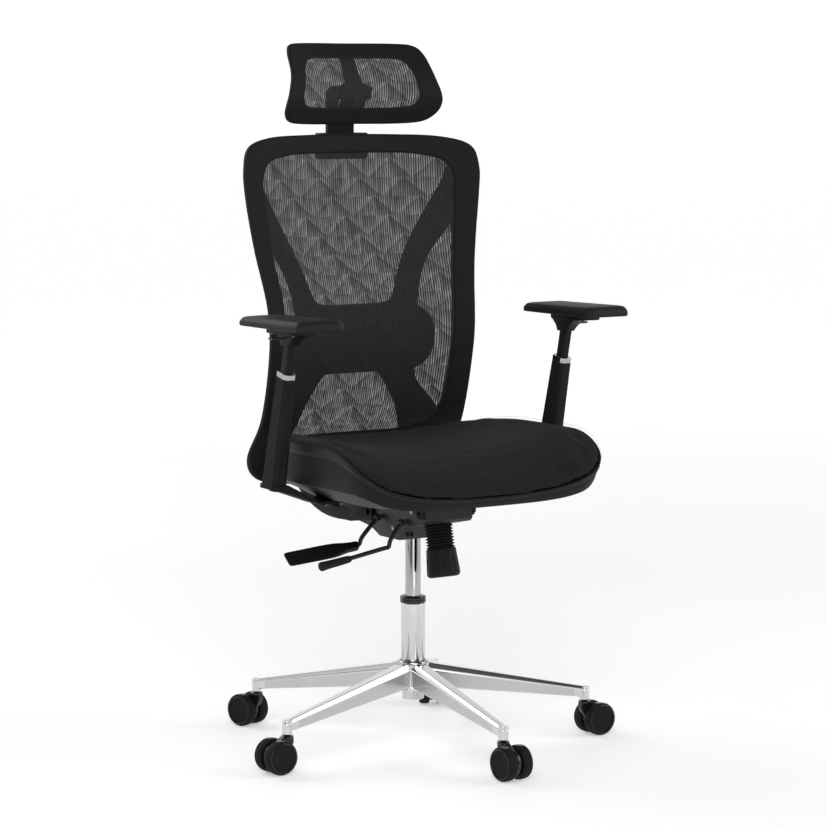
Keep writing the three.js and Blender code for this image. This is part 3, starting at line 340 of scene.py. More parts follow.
def make_finishes(finish, sizes):
    plastic, metal = tuple(finish.plastic), tuple(finish.metal)
    FINISHES.update(
        plastic=moulded("black_plastic", plastic, 0.5),
        gloss=moulded("gloss_plastic", plastic, 0.16, depth=0.00001, level=0.42),
        matt=moulded("matt_plastic", tuple(c * 1.15 for c in plastic), 0.66, depth=0.0001, level=0.1),
        trim=moulded("trim_plastic", tuple(c * 1.3 for c in plastic), 0.42, level=0.18),
        paint=painted("black_paint", tuple(finish.paint)),
        polished=polished("polished_metal", metal, 0.05),
        satin=polished("satin_metal", tuple(c * 0.86 for c in metal), 0.2, swirl=500, depth=0.00003),
        chrome=polished("chrome", metal, 0.03),
        # Chrome with its colour cut to 0.62: painted shade, for the darker look of the gas tube, the arm
        # rings and the hub's top.
        smoked=polished("smoked_chrome", tuple(c * 0.62 for c in metal), 0.05),
        steel=polished("steel", (0.42, 0.43, 0.44), 0.3),
        rubber=rubber("rubber", (0.008, 0.008, 0.008)),
        skin=soft_skin("arm_pad_skin", (0.0075, 0.0075, 0.0078)),
        cloth=woven("seat_cloth", tuple(finish.cloth), sizes.weave_pitch),
        thread=woven("seam_thread", tuple(c * 1.4 for c in finish.cloth), sizes.weave_pitch),
        webbing=open_mesh("mesh_cloth", tuple(finish.webbing), sizes.thread_pitch),
    )


# ------------------------------------------------------------------ mesh building
def in_row(point):
    """From millimetres about the column's axis to the frame's metres."""
    return Vector((point[0] * MM + AXIS.x, point[1] * MM + AXIS.y, point[2] * MM))


def settle(name, mesh, finishes, sharp=35):
    """Merges, turns faces outward and shades a mesh, and makes its object."""
    bm = bmesh.new()
    bm.from_mesh(mesh)
    bmesh.ops.remove_doubles(bm, verts=bm.verts, dist=1e-6)
    bmesh.ops.dissolve_degenerate(bm, edges=bm.edges, dist=1e-6)
    bmesh.ops.recalc_face_normals(bm, faces=bm.faces)
    bm.to_mesh(mesh)
    bm.free()
    mesh.shade_smooth()
    mesh.set_sharp_from_angle(angle=math.radians(sharp))
    for finish in finishes if isinstance(finishes, (list, tuple)) else [finishes]:
        mesh.materials.append(FINISHES[finish])
    made = bpy.data.objects.new(name, mesh)
    bpy.context.scene.collection.objects.link(made)
    return made


def shape(name, parts, finishes, sharp=35):
    """One object from closed parts, each a (points, faces) pair in millimetres."""
    points, faces = [], []
    for part_points, part_faces in parts:
        first = len(points)
        points += [in_row(p) for p in part_points]
        faces += [[first + i for i in face] for face in part_faces]
    mesh = bpy.data.meshes.new(name)
    mesh.from_pydata(points, [], faces)
    return settle(name, mesh, finishes, sharp)


def mount(made, body, slot, *nodes):
    """Rides a finished piece on its body, in place of the frame's nodes."""
    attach(made, body)
    if nodes:
        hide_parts(*nodes)
    return made


def rounded(made, width, segments=3, angle=35):
    """Live rounding of a piece's sharp edges."""
    edge = made.modifiers.new("edges", "BEVEL")
    edge.width, edge.segments, edge.limit_method = width * MM, segments, "ANGLE"
    edge.angle_limit = math.radians(angle)
    edge.harden_normals = False
    even = made.modifiers.new("shading", "WEIGHTED_NORMAL")
    even.keep_sharp = False
    return made


def finer(made, levels=1):
    fine = made.modifiers.new("fine", "SUBSURF")
    fine.levels = fine.render_levels = levels
    return made


def moved(part, x=0, y=0, z=0):
    points, faces = part
    return [(p[0] + x, p[1] + y, p[2] + z) for p in points], faces


def turned(part, angle, axis="Z", about=(0, 0, 0)):
    turn = Matrix.Rotation(math.radians(angle), 3, axis)
    centre = Vector(about)
    return [tuple(turn @ (Vector(p) - centre) + centre) for p in part[0]], part[1]


def loft(rings, loop=False):
    """A skin over rings of equal count, closed by its end rings, or joined end to end in a loop."""
    count = len(rings[0])
    points = [tuple(p) for ring in rings for p in ring]
    faces = []
    for k in range(len(rings) if loop else len(rings) - 1):
        a, b = k * count, (k + 1) % len(rings) * count
        faces += [(a + i, a + (i + 1) % count, b + (i + 1) % count, b + i) for i in range(count)]
    if not loop:
        faces += [tuple(range(count))[::-1], tuple(range(len(points) - count, len(points)))]
    return points, faces


def lathe(profile, sides=64, swell=None):
    """A solid turned about Z from [radius, height] points; swell(angle, height) adds to the radius."""
    rings = []
    for radius, height in profile:
        radius = max(radius, 0.02)
        ring = []
        for i in range(sides):
            angle = math.tau * i / sides
            r = radius + (swell(angle, height) if swell and radius > 1 else 0)
            ring.append((r * math.cos(angle), r * math.sin(angle), height))
        rings.append(ring)
    hollow = profile[0] == profile[-1]
    return loft(rings[:-1], loop=True) if hollow else loft(rings)


def lying(part):
    """Lays a part turned about Z on its side, so that its axis is Y."""
    return [(x, z, -y) for x, y, z in part[0]], part[1]


def box_ring(width, depth, corner, count=6):
    """Points round a rectangle with rounded corners, about the origin."""
    ring = []
    for quarter, (sx, sy) in enumerate(((1, 1), (-1, 1), (-1, -1), (1, -1))):
        for i in range(count + 1):
            angle = math.pi / 2 * (quarter + i / count)
            ring.append((sx * (width / 2 - corner) + corner * math.cos(angle),
                         sy * (depth / 2 - corner) + corner * math.sin(angle)))
    return ring


def through(points, count):
    """Points along a smooth line through the given ones, of any number of values each."""
    last = len(points) - 1
    line = []
    for step in range(count + 1):
        place = last * step / count
        i = min(int(place), last - 1)
        t = place - i
        p0, p1, p2, p3 = (points[max(0, min(last, k))] for k in (i - 1, i, i + 1, i + 2))
        line.append(tuple(
            (2 * b + (c - a) * t + (2 * a - 5 * b + 4 * c - d) * t * t + (3 * b - a - 3 * c + d) * t ** 3) / 2
            for a, b, c, d in zip(p0, p1, p2, p3)))
    return line


def sweep(line, section):
    """A bar along a line of points; section(share) gives its ring of (across, up) points."""
    line = [Vector(p) for p in line]
    rings, side = [], None
    for i, point in enumerate(line):
        ahead = (line[min(i + 1, len(line) - 1)] - line[max(i - 1, 0)]).normalized()
        side = side or ahead.cross(Vector((0, 0.3, 1))).normalized()
        side = (side - ahead * side.dot(ahead)).normalized()
        up = side.cross(ahead)
        rings.append([point + side * a + up * b for a, b in section(i / (len(line) - 1))])
    return loft(rings)


def circle(radius, sides=16):
    return [(radius * math.cos(math.tau * i / sides), radius * math.sin(math.tau * i / sides))
            for i in range(sides)]


def along(points, value):
    """The first value of the points, at a height between them."""
    for (a, low), (b, high) in zip(points, points[1:]):
        if low <= value <= high and high > low:
            return a + (b - a) * (value - low) / (high - low)
    return points[0][0] if value < points[0][1] else points[-1][0]


def mirrored(half):
    """A closed outline from its right half, bottom middle to top middle."""
    return list(half) + [(-x, z) for x, z in half[-2:0:-1]]


def bent_plate(name, outline, holes, thick, edge, face, finish, step=14, sharp=40):
    """A plate with rounded edges, cut to an outline in (x, z) and bent onto y = face(x, z)."""
    flat = bpy.data.curves.new(name, "CURVE")
    flat.dimensions, flat.fill_mode = "2D", "BOTH" if thick else "FRONT"
    flat.extrude, flat.bevel_depth, flat.offset = max(thick / 2 - edge, 0), edge, -edge
    flat.bevel_resolution = 2
    for loop in (outline, *holes):
        line = flat.splines.new("POLY")
        line.points.add(len(loop) - 1)
        line.use_cyclic_u = True
        for spot, (x, z) in zip(line.points, loop):
            spot.co = (x, z, 0, 1)
    holder = bpy.data.objects.new(name, flat)
    bpy.context.scene.collection.objects.link(holder)
    bpy.context.view_layer.update()
    mesh = bpy.data.meshes.new_from_object(holder.evaluated_get(bpy.context.evaluated_depsgraph_get()))
    bpy.data.objects.remove(holder)
    bm = bmesh.new()
    bm.from_mesh(mesh)
    bmesh.ops.remove_doubles(bm, verts=bm.verts, dist=0.01)
    for axis in (0, 1):
        places = [v.co[axis] for v in bm.verts]
        low, high = min(places), max(places)
        cuts = int((high - low) / step)
        normal = (1, 0, 0) if axis == 0 else (0, 1, 0)
        for i in range(1, cuts):
            place = low + (high - low) * (i + 0.013) / cuts
            bmesh.ops.bisect_plane(
                bm, geom=bm.verts[:] + bm.edges[:] + bm.faces[:], dist=1e-4,
                plane_co=[c * place for c in normal], plane_no=normal)
    for v in bm.verts:
        x, z, depth = v.co
        v.co = in_row((x, face(x, z) + thick / 2 + depth, z))
    bm.to_mesh(mesh)
    bm.free()
    mesh.materials.clear()
    made = settle(name, mesh, finish, sharp)
    if thick:
        made.modifiers.new("shading", "WEIGHTED_NORMAL").keep_sharp = True
    return made


def softened(name, node, width, finish, segments=3, sharp=35, angle=30):
    """A copy of a frame node with its flat faces whole again and its edges rounded."""
    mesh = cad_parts[node].data.copy()
    mesh.materials.clear()
    bm = bmesh.new()
    bm.from_mesh(mesh)
    bmesh.ops.remove_doubles(bm, verts=bm.verts, dist=2e-5)
    bmesh.ops.dissolve_limit(bm, angle_limit=math.radians(2), verts=bm.verts, edges=bm.edges)
    bm.to_mesh(mesh)
    bm.free()
    made = settle(name, mesh, finish, sharp)
    return rounded(made, width, segments, angle)


# ------------------------------------------------------------------ repeats, by geometry nodes
def tree_of(name, inputs):
    tree = bpy.data.node_groups.new(name, "GeometryNodeTree")
    tree.interface.new_socket("Geometry", in_out="OUTPUT", socket_type="NodeSocketGeometry")
    tree.interface.new_socket("Geometry", in_out="INPUT", socket_type="NodeSocketGeometry")
    for label, kind, value in inputs:
        tree.interface.new_socket(label, in_out="INPUT", socket_type=kind).default_value = value
    graph = Graph(tree)
    graph.add("NodeGroupInput")
    taken = {s.name: Wire(graph, s) for s in graph.last.outputs if s.name}
    return graph, taken


def close_tree(graph, geometry, finish):
    real = graph.add("GeometryNodeRealizeInstances", None, {"Geometry": geometry})
    dressed = graph.add("GeometryNodeSetMaterial", None, {"Geometry": real, "Material": FINISHES[finish]})
    end = graph.tree.nodes.new("NodeGroupOutput")
    graph.tree.links.new(dressed.socket, end.inputs["Geometry"])
    return graph.tree


def grown(name, tree, values, points, edges=(), facing=None, sharp=35):
    """Runs a tree on a few points in the frame's metres and keeps the plain mesh it makes."""
    seed = bpy.data.meshes.new(name + "_points")
    seed.from_pydata(points, edges, [])
    if facing:
        seed.attributes.new("facing", "FLOAT_VECTOR", "POINT").data.foreach_set(
            "vector", [value for direction in facing for value in direction])
    holder = bpy.data.objects.new(name + "_points", seed)
    bpy.context.scene.collection.objects.link(holder)
    grow = holder.modifiers.new("grow", "NODES")
    grow.node_group = tree
    for item in tree.interface.items_tree:
        if item.in_out == "INPUT" and item.name in values:
            grow[item.identifier] = values[item.name]
    bpy.context.view_layer.update()
    mesh = bpy.data.meshes.new_from_object(holder.evaluated_get(bpy.context.evaluated_depsgraph_get()))
    bpy.data.objects.remove(holder)
    mesh.shade_smooth()
    mesh.set_sharp_from_angle(angle=math.radians(sharp))
    made = bpy.data.objects.new(name, mesh)
    bpy.context.scene.collection.objects.link(made)
    return made


def screw_tree():
    """A domed screw head with a hexagon socket on each point, turned to its facing."""
    graph, taken = tree_of("screw_heads", [("Radius", "NodeSocketFloat", 0.004)])
    add = graph.add
    radius = taken["Radius"]
    head = add("GeometryNodeMeshCylinder", {"fill_type": "NGON"},
               {"Vertices": 20, "Radius": radius, "Depth": radius * 0.9}, out="Mesh")
    dome = add("GeometryNodeMeshUVSphere", None, {"Segments": 20, "Rings": 8, "Radius": radius}, out="Mesh")
    flat_dome = add("GeometryNodeTransform", None, {
        "Geometry": dome, "Scale": (0.96, 0.96, 0.42), "Translation": (0, 0, 0)})
    recess = add("GeometryNodeMeshCylinder", {"fill_type": "NGON"},
                 {"Vertices": 6, "Radius": radius * 0.5, "Depth": radius * 1.4}, out="Mesh")
    cap = add("GeometryNodeMeshBoolean", {"operation": "DIFFERENCE"},
              {"Mesh 1": flat_dome, "Mesh 2": recess}, out="Mesh")
    both = add("GeometryNodeJoinGeometry")
    join = graph.last
    graph.tree.links.new(cap.socket, join.inputs[0])
    washer = add("GeometryNodeTransform", None, {"Geometry": head, "Scale": (1.0, 1.0, 0.25)})
    graph.tree.links.new(washer.socket, join.inputs[0])
    facing = add("GeometryNodeInputNamedAttribute", {"data_type": "FLOAT_VECTOR"}, {"Name": "facing"})
    turn = add("FunctionNodeAlignRotationToVector", {"axis": "Z"}, {"Vector": facing})
    placed = add("GeometryNodeInstanceOnPoints", None,
                 {"Points": taken["Geometry"], "Instance": both, "Rotation": turn})
    return close_tree(graph, placed, "steel")


def stitch_tree(finish="thread"):
    """Short stitches at an even pitch along each line of edges, laid along the line."""
    graph, taken = tree_of("stitches", [("Pitch", "NodeSocketFloat", 0.005),
                                        ("Width", "NodeSocketFloat", 0.0011)])
    add = graph.add
    line = add("GeometryNodeMeshToCurve", None, {"Mesh": taken["Geometry"]})
    even = add("GeometryNodeResampleCurve", {"mode": "LENGTH"}, {"Curve": line, "Length": taken["Pitch"]})
    bead = add("GeometryNodeMeshUVSphere", None,
               {"Segments": 8, "Rings": 5, "Radius": taken["Width"] * 0.5}, out="Mesh")
    long = add("GeometryNodeTransform", None, {"Geometry": bead, "Scale": (1.0, 1.0, 3.4)})
    tangent = add("GeometryNodeInputTangent")
    turn = add("FunctionNodeAlignRotationToVector", {"axis": "Z"}, {"Vector": tangent})
    placed = add("GeometryNodeInstanceOnPoints", None, {"Points": even, "Instance": long, "Rotation": turn})
    return close_tree(graph, placed, finish)


def rib_tree(finish):
    """Thin upright ribs on each point, with their length along the point's facing."""
    graph, taken = tree_of("ribs", [
        ("Length", "NodeSocketFloat", 0.02), ("Height", "NodeSocketFloat", 0.008),
        ("Thickness", "NodeSocketFloat", 0.002)])
    add = graph.add
    size = add("ShaderNodeCombineXYZ", None, {"X": taken["Length"], "Y": taken["Thickness"],
                                              "Z": taken["Height"]})
    rib = add("GeometryNodeMeshCube", None, {"Size": size}, out="Mesh")
    facing = add("GeometryNodeInputNamedAttribute", {"data_type": "FLOAT_VECTOR"}, {"Name": "facing"})
    turn = add("FunctionNodeAlignRotationToVector", {"axis": "X"}, {"Vector": facing})
    placed = add("GeometryNodeInstanceOnPoints", None,
                 {"Points": taken["Geometry"], "Instance": rib, "Rotation": turn})
    return close_tree(graph, placed, finish)


def bellows_tree(finish):
    """A ribbed tube down a line: its width swells and narrows a set number of times."""
    graph, taken = tree_of("bellows", [
        ("Radius", "NodeSocketFloat", 0.026), ("Depth", "NodeSocketFloat", 0.0035),
        ("Ribs", "NodeSocketInt", 8)])
    add = graph.add
    line = add("GeometryNodeMeshToCurve", None, {"Mesh": taken["Geometry"]})
    even = add("GeometryNodeResampleCurve", {"mode": "COUNT"}, {"Curve": line, "Count": 97})
    share = add("GeometryNodeSplineParameter")
    swell = (share * taken["Ribs"] * math.tau).wave() * 0.5 + 0.5
    width = taken["Radius"] - taken["Depth"] * swell
    wide = add("GeometryNodeSetCurveRadius", None, {"Curve": even, "Radius": width})
    ring = add("GeometryNodeCurvePrimitiveCircle", None, {"Resolution": 48, "Radius": 1.0}, out="Curve")
    tube = add("GeometryNodeCurveToMesh", None, {"Curve": wide, "Profile Curve": ring, "Fill Caps": True})
    if "Scale" in graph.last.inputs:
        graph.feed(graph.last.inputs["Scale"], width)
    return close_tree(graph, tube, finish)


def screws(name, spots, body, radius, slot="steel"):
    """Screw heads at (place, facing) pairs, in millimetres about the column's axis."""
    made = grown(name, screw_tree(), {"Radius": radius}, [in_row(p) for p, d in spots],
                 facing=[d for p, d in spots])
    return mount(made, body, slot)


# ------------------------------------------------------------------ shapes the frame repeats
def seat_outline(share=1.0, inset=0.0, steps=144):
    middle, reach = (SEAT_FRONT + SEAT_REAR) / 2, (SEAT_REAR - SEAT_FRONT) / 2
    ring = []
    for i in range(steps):
        angle = math.tau * (i + 0.5) / steps
        c, s = math.cos(angle), math.sin(angle)
        power = SQUARE_FRONT if s < 0 else SQUARE_REAR
        across = (abs(c) / (SEAT_HALF - inset)) ** power
        out = share / (across + (abs(s) / (reach - inset)) ** power) ** (1 / power)
        ring.append((c * out, middle + s * out))
    return ring


def seat_top(x, y):
    start = SEAT_FRONT + 138
    rise = 36 * min(1, abs(x) / SEAT_HALF) ** 2.5
    return SEAT_TOP + rise - 50 * max(0, (start - y) / (start - SEAT_FRONT)) ** 2


def seat_seam(x, y):
    return seat_top(x, y) - 13 - 6 * max(0, min(1, (SEAT_FRONT + 100 - y) / 100))


def seat_ring(share, inset, height):
    return [(x, y, height(x, y)) for x, y in seat_outline(share, inset)]


def pan_edge(x, y):
    side = min(1, abs(x) / (SEAT_HALF * 0.9)) ** 4
    return PAN_LIP + (PAN_SIDE - PAN_LIP) * side * (1 if y > SEAT_FRONT + 60 else 0.5 + 0.5 * max(0,
        (y - SEAT_FRONT) / 60))


BACK_PROFILE = through(
    [(197, 445), (192, 505), (142, 584), (112, 700), (112, 780), (138, 885), (152, 975), (157, 1042),
     (160, 1100)], 96)
FRAME_OUTSIDE = through(
    [(0, 450), (110, 452), (190, 468), (221, 510), (218, 590), (218, 700), (222, 800), (237, 900),
     (249, 985),
     (251, 1035), (236, 1074), (180, 1090), (90, 1094), (0, 1095)], 110)
FRAME_INSIDE = through(
    [(0, 544), (115, 546), (158, 562), (175, 602), (179, 700), (184, 800), (197, 900), (204, 985),
     (203, 1018),
     (186, 1046), (130, 1058), (60, 1060), (0, 1060)], 100)
HEAD_OUTSIDE = through(
    [(0, 1113), (90, 1113), (140, 1117), (160, 1131), (165, 1149), (162, 1169), (154, 1195), (150, 1213),
     (145, 1240),
     (132, 1256), (96, 1260), (0, 1260)], 88)
HEAD_INSIDE = through(
    [(0, 1143), (70, 1143), (112, 1147), (124, 1161), (122, 1181), (116, 1208), (106, 1225), (84, 1232),
     (0, 1232)], 72)
HEAD_ROLL = through(
    [(40, 1101), (31, 1113), (16, 1134), (6, 1149), (0, 1167), (3, 1193), (11, 1213), (29, 1240),
     (44, 1260), (52, 1270)], 60)


def back_face(x, z):
    return along(BACK_PROFILE, z) + BACK_WRAP * (1 - (x / BACK_HALF) ** 2)


def head_face(x, z):
    return HEAD_Y + along(HEAD_ROLL, z) - HEAD_WRAP * (x / HEAD_HALF) ** 2


def support_stand(z):
    share = min(1, abs(z - 720) / (300 if z > 720 else 180))
    return 19 + 17 * (1 - share ** 2)


# ------------------------------------------------------------------ the stage
class CHAIR_OT_stage(bpy.types.Operator):
    """Pale floor, soft studio light and the camera"""
    bl_idname = "chair.stage"
    bl_label = "Studio"

    def execute(self, context):
        scene = context.scene
        scene.view_settings.view_transform = "Standard"
        self.floor()
        self.sky(scene)
        for name, place, size, power in (
                ("key", (-2.6, -3.2, 3.2), 2.6, 95), ("fill", (3.4, -2.6, 2.4), 2.6, 60),
                ("rim", (-1.5, 3.4, 3.0), 2.4, 60), ("low", (-1.2, -4.6, 0.9), 2.0, 22)):
            light = bpy.data.lights.new(name, "AREA")
            light.energy, light.size = power, size
            holder = bpy.data.objects.new(name, light)
            holder.location = place
            holder.rotation_euler = (Vector((0, 0, 0.6)) - Vector(place)).to_track_quat("-Z",
                "Y").to_euler()
            scene.collection.objects.link(holder)
        lens = bpy.data.cameras.new("camera")
        lens.lens, lens.sensor_width = 129.7, 36
        lens.clip_end = 200
        camera = bpy.data.objects.new("camera", lens)
        camera.location = (-2.8793, -4.4225, 1.189)
        camera.rotation_euler = (math.radians(83.66), 0, math.radians(-33))
        scene.collection.objects.link(camera)
        scene.camera = camera
        return {"FINISHED"}

    def floor(self):
        made = Finish("studio_floor", Roughness=0.6, Specular_IOR_Level=0.1, Emission_Strength=1.0)
        place = made.place()
        away = made.add("ShaderNodeVectorMath", {"operation": "LENGTH"}, {0: place}, out="Value")
        far = made.add("ShaderNodeMath", {"operation": "MULTIPLY", "use_clamp": True},
                       {0: away - 2, 1: 0.25})
        made.feed(made.shader.inputs["Emission Color"],
                  far * 0.27 + 0.355)  # evens out the floor beyond the lamps
        cloud = made.cloud(place, 3, 2)
        made.colour(made.blend(cloud, (0.73, 0.73, 0.73, 1), (0.76, 0.76, 0.76, 1)))
        mesh = bpy.data.meshes.new("floor")
        mesh.from_pydata([(-60, -60, -0.0006), (60, -60, -0.0006), (60, 60, -0.0006), (-60, 60, -0.0006)],
                         [], [(0, 1, 2, 3)])
        mesh.materials.append(made.material)
        floor = bpy.data.objects.new("floor", mesh)
        bpy.context.scene.collection.objects.link(floor)

    def sky(self, scene):
        world = bpy.data.worlds.new("studio")
        world.use_nodes = True
        scene.world = world
        sky = Graph(world.node_tree)
        back = world.node_tree.nodes["Background"]
        place = sky.add("ShaderNodeTexCoord", out="Generated")
        parts = sky.add("ShaderNodeSeparateXYZ", None, {"Vector": place})
        x, y, height = (Wire(sky, parts.socket.node.outputs[axis]) for axis in "XYZ")
        ramp = sky.add("ShaderNodeValToRGB", {"stops": ((0.0, 1.0), (1.0, 0.1))},
                       {"Fac": (height - 0.45) * 2.4})
        screens = ((y.sum("ARCTAN2", y,
                          x) * 4.5 + 0.8).wave() > 0.3) * (0.1 - y > 0)  # dark screens round the front
        sky.feed(back.inputs["Color"], ramp * (1 - screens * 0.8))
        back.inputs["Strength"].default_value = 1.05


# ------------------------------------------------------------------ base, column and casters
def leg_turn(k):
    return FIRST_LEG + 360 / LEG_COUNT * k - 90


def leg_part():
    """A leg along +X: flat polished top, sharp shoulders and hollowed sides that taper to the tip."""
    rings = []
    for i in range(15):
        share = i / 14
        x = 14.5 + (STEM_CIRCLE - 14.5) * share
        width, top, low = 34 - 17 * share, 150 - 59.3 * share, 105 - 34 * share
        tall = top - low
        half = [(0.27 * width, top), (0.33 * width, top - 0.5), (0.47 * width, top - 0.2 * tall),
                (0.495 * width, top - 0.27 * tall), (0.485 * width, top - 0.33 * tall),
                (0.455 * width, top - 0.66 * tall), (0.44 * width, low + 2.2), (0.38 * width, low)]
        rings.append([(x, y, z) for y, z in half] + [(x, -y, z) for y, z in reversed(half)])
    return loft(rings)


def boss_part():
    return moved(lathe([(0, 66), (8.2, 66), (9, 66.8), (9, 84.4), (8.4, 85), (8.4, 86), (9, 86.6),
                        (9, 90.2), (8.2, 91), (0, 91)], 40), STEM_CIRCLE)


def hub_part():
    def flutes(angle, height):
        if HUB_LOW + 6 < height < HUB_TOP - 8:
            return -1.1 * (0.5 + 0.5 * math.cos(angle * 20)) ** 2
        return -1.5 * (0.5 + 0.5 * math.cos(angle * 12)) ** 2 if height < HUB_LOW - 1.5 else 0
    profile = [(0, FOOT_LOW), (FOOT_RADIUS - 1, FOOT_LOW), (FOOT_RADIUS, FOOT_LOW + 1), (FOOT_RADIUS, 90),
               (FOOT_RADIUS, 97),
               (FOOT_RADIUS + 0.6, 98.4), (27.6, 99)]
    profile += [(HUB_RADIUS, z) for z in (100.4, 104.5, 106, 118, 130, 142, 144.5, 148)]
    profile += [(28.2, 150.6), (26.4, HUB_TOP), (23.6, HUB_TOP), (22.6, 151), (22.5, 140), (0, 140)]
    return lathe(profile, 200, flutes)


class CHAIR_OT_star_base(bpy.types.Operator):
    """Polished five-arm base with its fluted hub"""
    bl_idname = "chair.star_base"
    bl_label = "Star base"

    def execute(self, context):
        parts = [hub_part()]
        for k in range(LEG_COUNT):
            parts += [turned(leg_part(), leg_turn(k)), turned(boss_part(), leg_turn(k))]
        made = shape("base_casting", parts, ["polished", "satin", "smoked"], sharp=28)
        for face in made.data.polygons:  # the flanks of the legs are finer ground than they are polished
            far = (face.center.xy - AXIS.xy).length
            flank = abs(face.normal.z) < 0.25 and 0.03 < far < 0.309 and face.area > 6e-5
            # The hub's top, where the sleeve goes in, takes the darkened chrome: painted shade in that joint.
            face.material_index = 1 if flank else 2 if face.center.z > 0.1445 and far < 0.0295 else 0
        mount(rounded(made, 0.7, 2, 28), "base", "polished_metal", "star_base")
        return {"FINISHED"}


class CHAIR_OT_column(bpy.types.Operator):
    """Chromed sleeve, guide bush and gas spring"""
    bl_idname = "chair.column"
    bl_label = "Column"

    def execute(self, context):
        sleeve = lathe([(5.3, 102.5), (21.4, 102.5), (22, 103.1), (22, 149), (21.7, 149.6), (21.7, 150.6),
                        (22, 151.2), (22, 250),
                        (22, 256), (21.4, 257), (20, 257), (20, 106.5), (5.3, 106.5), (5.3, 102.5)], 80)
        mount(shape("column_sleeve_chrome", [sleeve], "chrome", 30), "base", "chrome", "column_sleeve")
        ring = [(14.35, 165), (19.7, 165), (19.7, 257.3), (22.6, 257.3), (23.5, 258.2), (23.5, 262),
                (22.9, 262.6), (22.9, 263.4),
                (23.5, 264), (23.5, 267.2), (22.4, 269), (20.5, 270), (15.4, 270), (14.35, 269),
                (14.35, 165)]
        mount(shape("guide_bush_collar", [lathe(ring, 72)], "gloss", 30), "base", "black_plastic",
              "guide_bush")
        tube = [(5.3, 212), (13.4, 212), (14, 213), (14, 423), (12, 429), (11, 430), (0, 430)]
        rings = tube + [(0, 345), (10.5, 345), (10.5, 215.5), (5.3, 215.5), (5.3, 212)]
        # The gas spring's tube takes the darkened chrome: painted shade in its colour.
        mount(shape("gas_spring_tube", [lathe(rings, 64)], "smoked", 30), "lift", "chrome", "gas_tube")
        return {"FINISHED"}


def wheel_parts(side):
    """A wheel about Y, its stepped outer face towards +Y, then turned to its side."""
    r, inner, outer = WHEEL_RADIUS, WHEEL_INNER, WHEEL_OUTER
    profile = [(0, outer - 1.7), (3, outer - 1.7), (20.8, outer - 1.5), (22.6, outer - 1.5),
               (23.2, outer - 2.2), (23.8, outer - 2.2), (24.2, outer - 0.7),
               (24.8, outer), (26.4, outer - 0.25), (28.4, outer - 1.6), (29.5, outer - 3.6),
        (r, outer - 6.2), (r, inner + 6),
               (29.7, inner + 3), (28.6, inner + 1.2), (26.5, inner), (24, inner), (23.4, inner + 1.4),
        (9, inner + 2), (8.4, inner + 0.3), (3.3, inner + 0.3),
               (3.3, inner + 16), (0, inner + 16)]
    points, faces = lathe(profile, 72)
    return [(x, side * y, z) for x, y, z in [(x, z, y) for x, y, z in points]], faces


def hood_parts():
    """Web between the wheels, drawn up into the cap under the leg, with the stem above it."""
    outline = [(CASTER_TRAIL + 24 * math.cos(t), 30 + 24 * math.sin(t)) for t in
               (math.radians(a) for a in range(-150, 76, 5))]
    outline += [(CASTER_TRAIL - 4, 57), (10.6, 62.5), (-10.6, 62.5), (-10.9, 52), (-7.5, 44), (-2.5, 36),
                (-1, 28)]
    rings = [[(x, y, z) for x, z in shrunk(outline, inset)] for y, inset in
             ((-5.5, 1.4), (-4.9, 0.4), (-3.8, 0), (3.8, 0), (4.9, 0.4), (5.5, 1.4))]
    cap = lathe([(0, 59.5), (10.2, 59.5), (11, 60.3), (11, 63.2), (10.2, 64), (6.4, 64), (5.5, 65),
                 (5.5, 83), (4.6, 84), (0, 84)], 40)
    return [loft(rings), cap]


def shrunk(outline, inset):
    """An outline drawn in towards its middle by about the given distance."""
    middle = (sum(x for x, _ in outline) / len(outline), sum(z for _, z in outline) / len(outline))
    out = []
    for x, z in outline:
        d = Vector((x - middle[0], z - middle[1]))
        d = d * (1 - inset / max(d.length, 1))
        out.append((middle[0] + d.x, middle[1] + d.y))
    return out


class CHAIR_OT_casters(bpy.types.Operator):
    """Five twin-wheel casters with glossy rims and matt faces"""
    bl_idname = "chair.casters"
    bl_label = "Casters"

    def execute(self, context):
        for k in range(LEG_COUNT):
            turn = math.radians(leg_turn(k))
            spot = (STEM_CIRCLE * math.cos(turn), STEM_CIRCLE * math.sin(turn))

            def placed(part, about=CASTER_TURNS[k] - 90, spot=spot):
                return moved(turned(part, about), *spot)
            hood = shape(f"caster_{k + 1}_hood", [placed(p) for p in hood_parts()], "gloss", 30)
            mount(hood, f"caster_{k + 1}", "black_plastic", f"caster_hood_{k + 1}")
            for side, label in ((1, "left"), (-1, "right")):
                part = placed(moved(wheel_parts(side), CASTER_TRAIL, 0, WHEEL_RADIUS))
                made = shape(f"caster_{k + 1}_wheel_{label}", [part], ["gloss", "matt"], 30)
                node = f"caster_wheel_{k + 1}_{label}"
                low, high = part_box(node)
                hub = (low + high) / 2
                for face in made.data.polygons:
                    away = face.center - hub
                    face.material_index = int(away.xy.length > 0.0075 and
                                              (away - away.project(face.normal)).length < 0.0225)
                mount(made, f"wheel_{k + 1}_{label}", "wheel_plastic", node)
        return {"FINISHED"}


# ------------------------------------------------------------------ mechanism
def on_knob_axis(part):
    return moved(turned(part, -KNOB_TILT, "X"), 0, KNOB_Y, KNOB_Z)


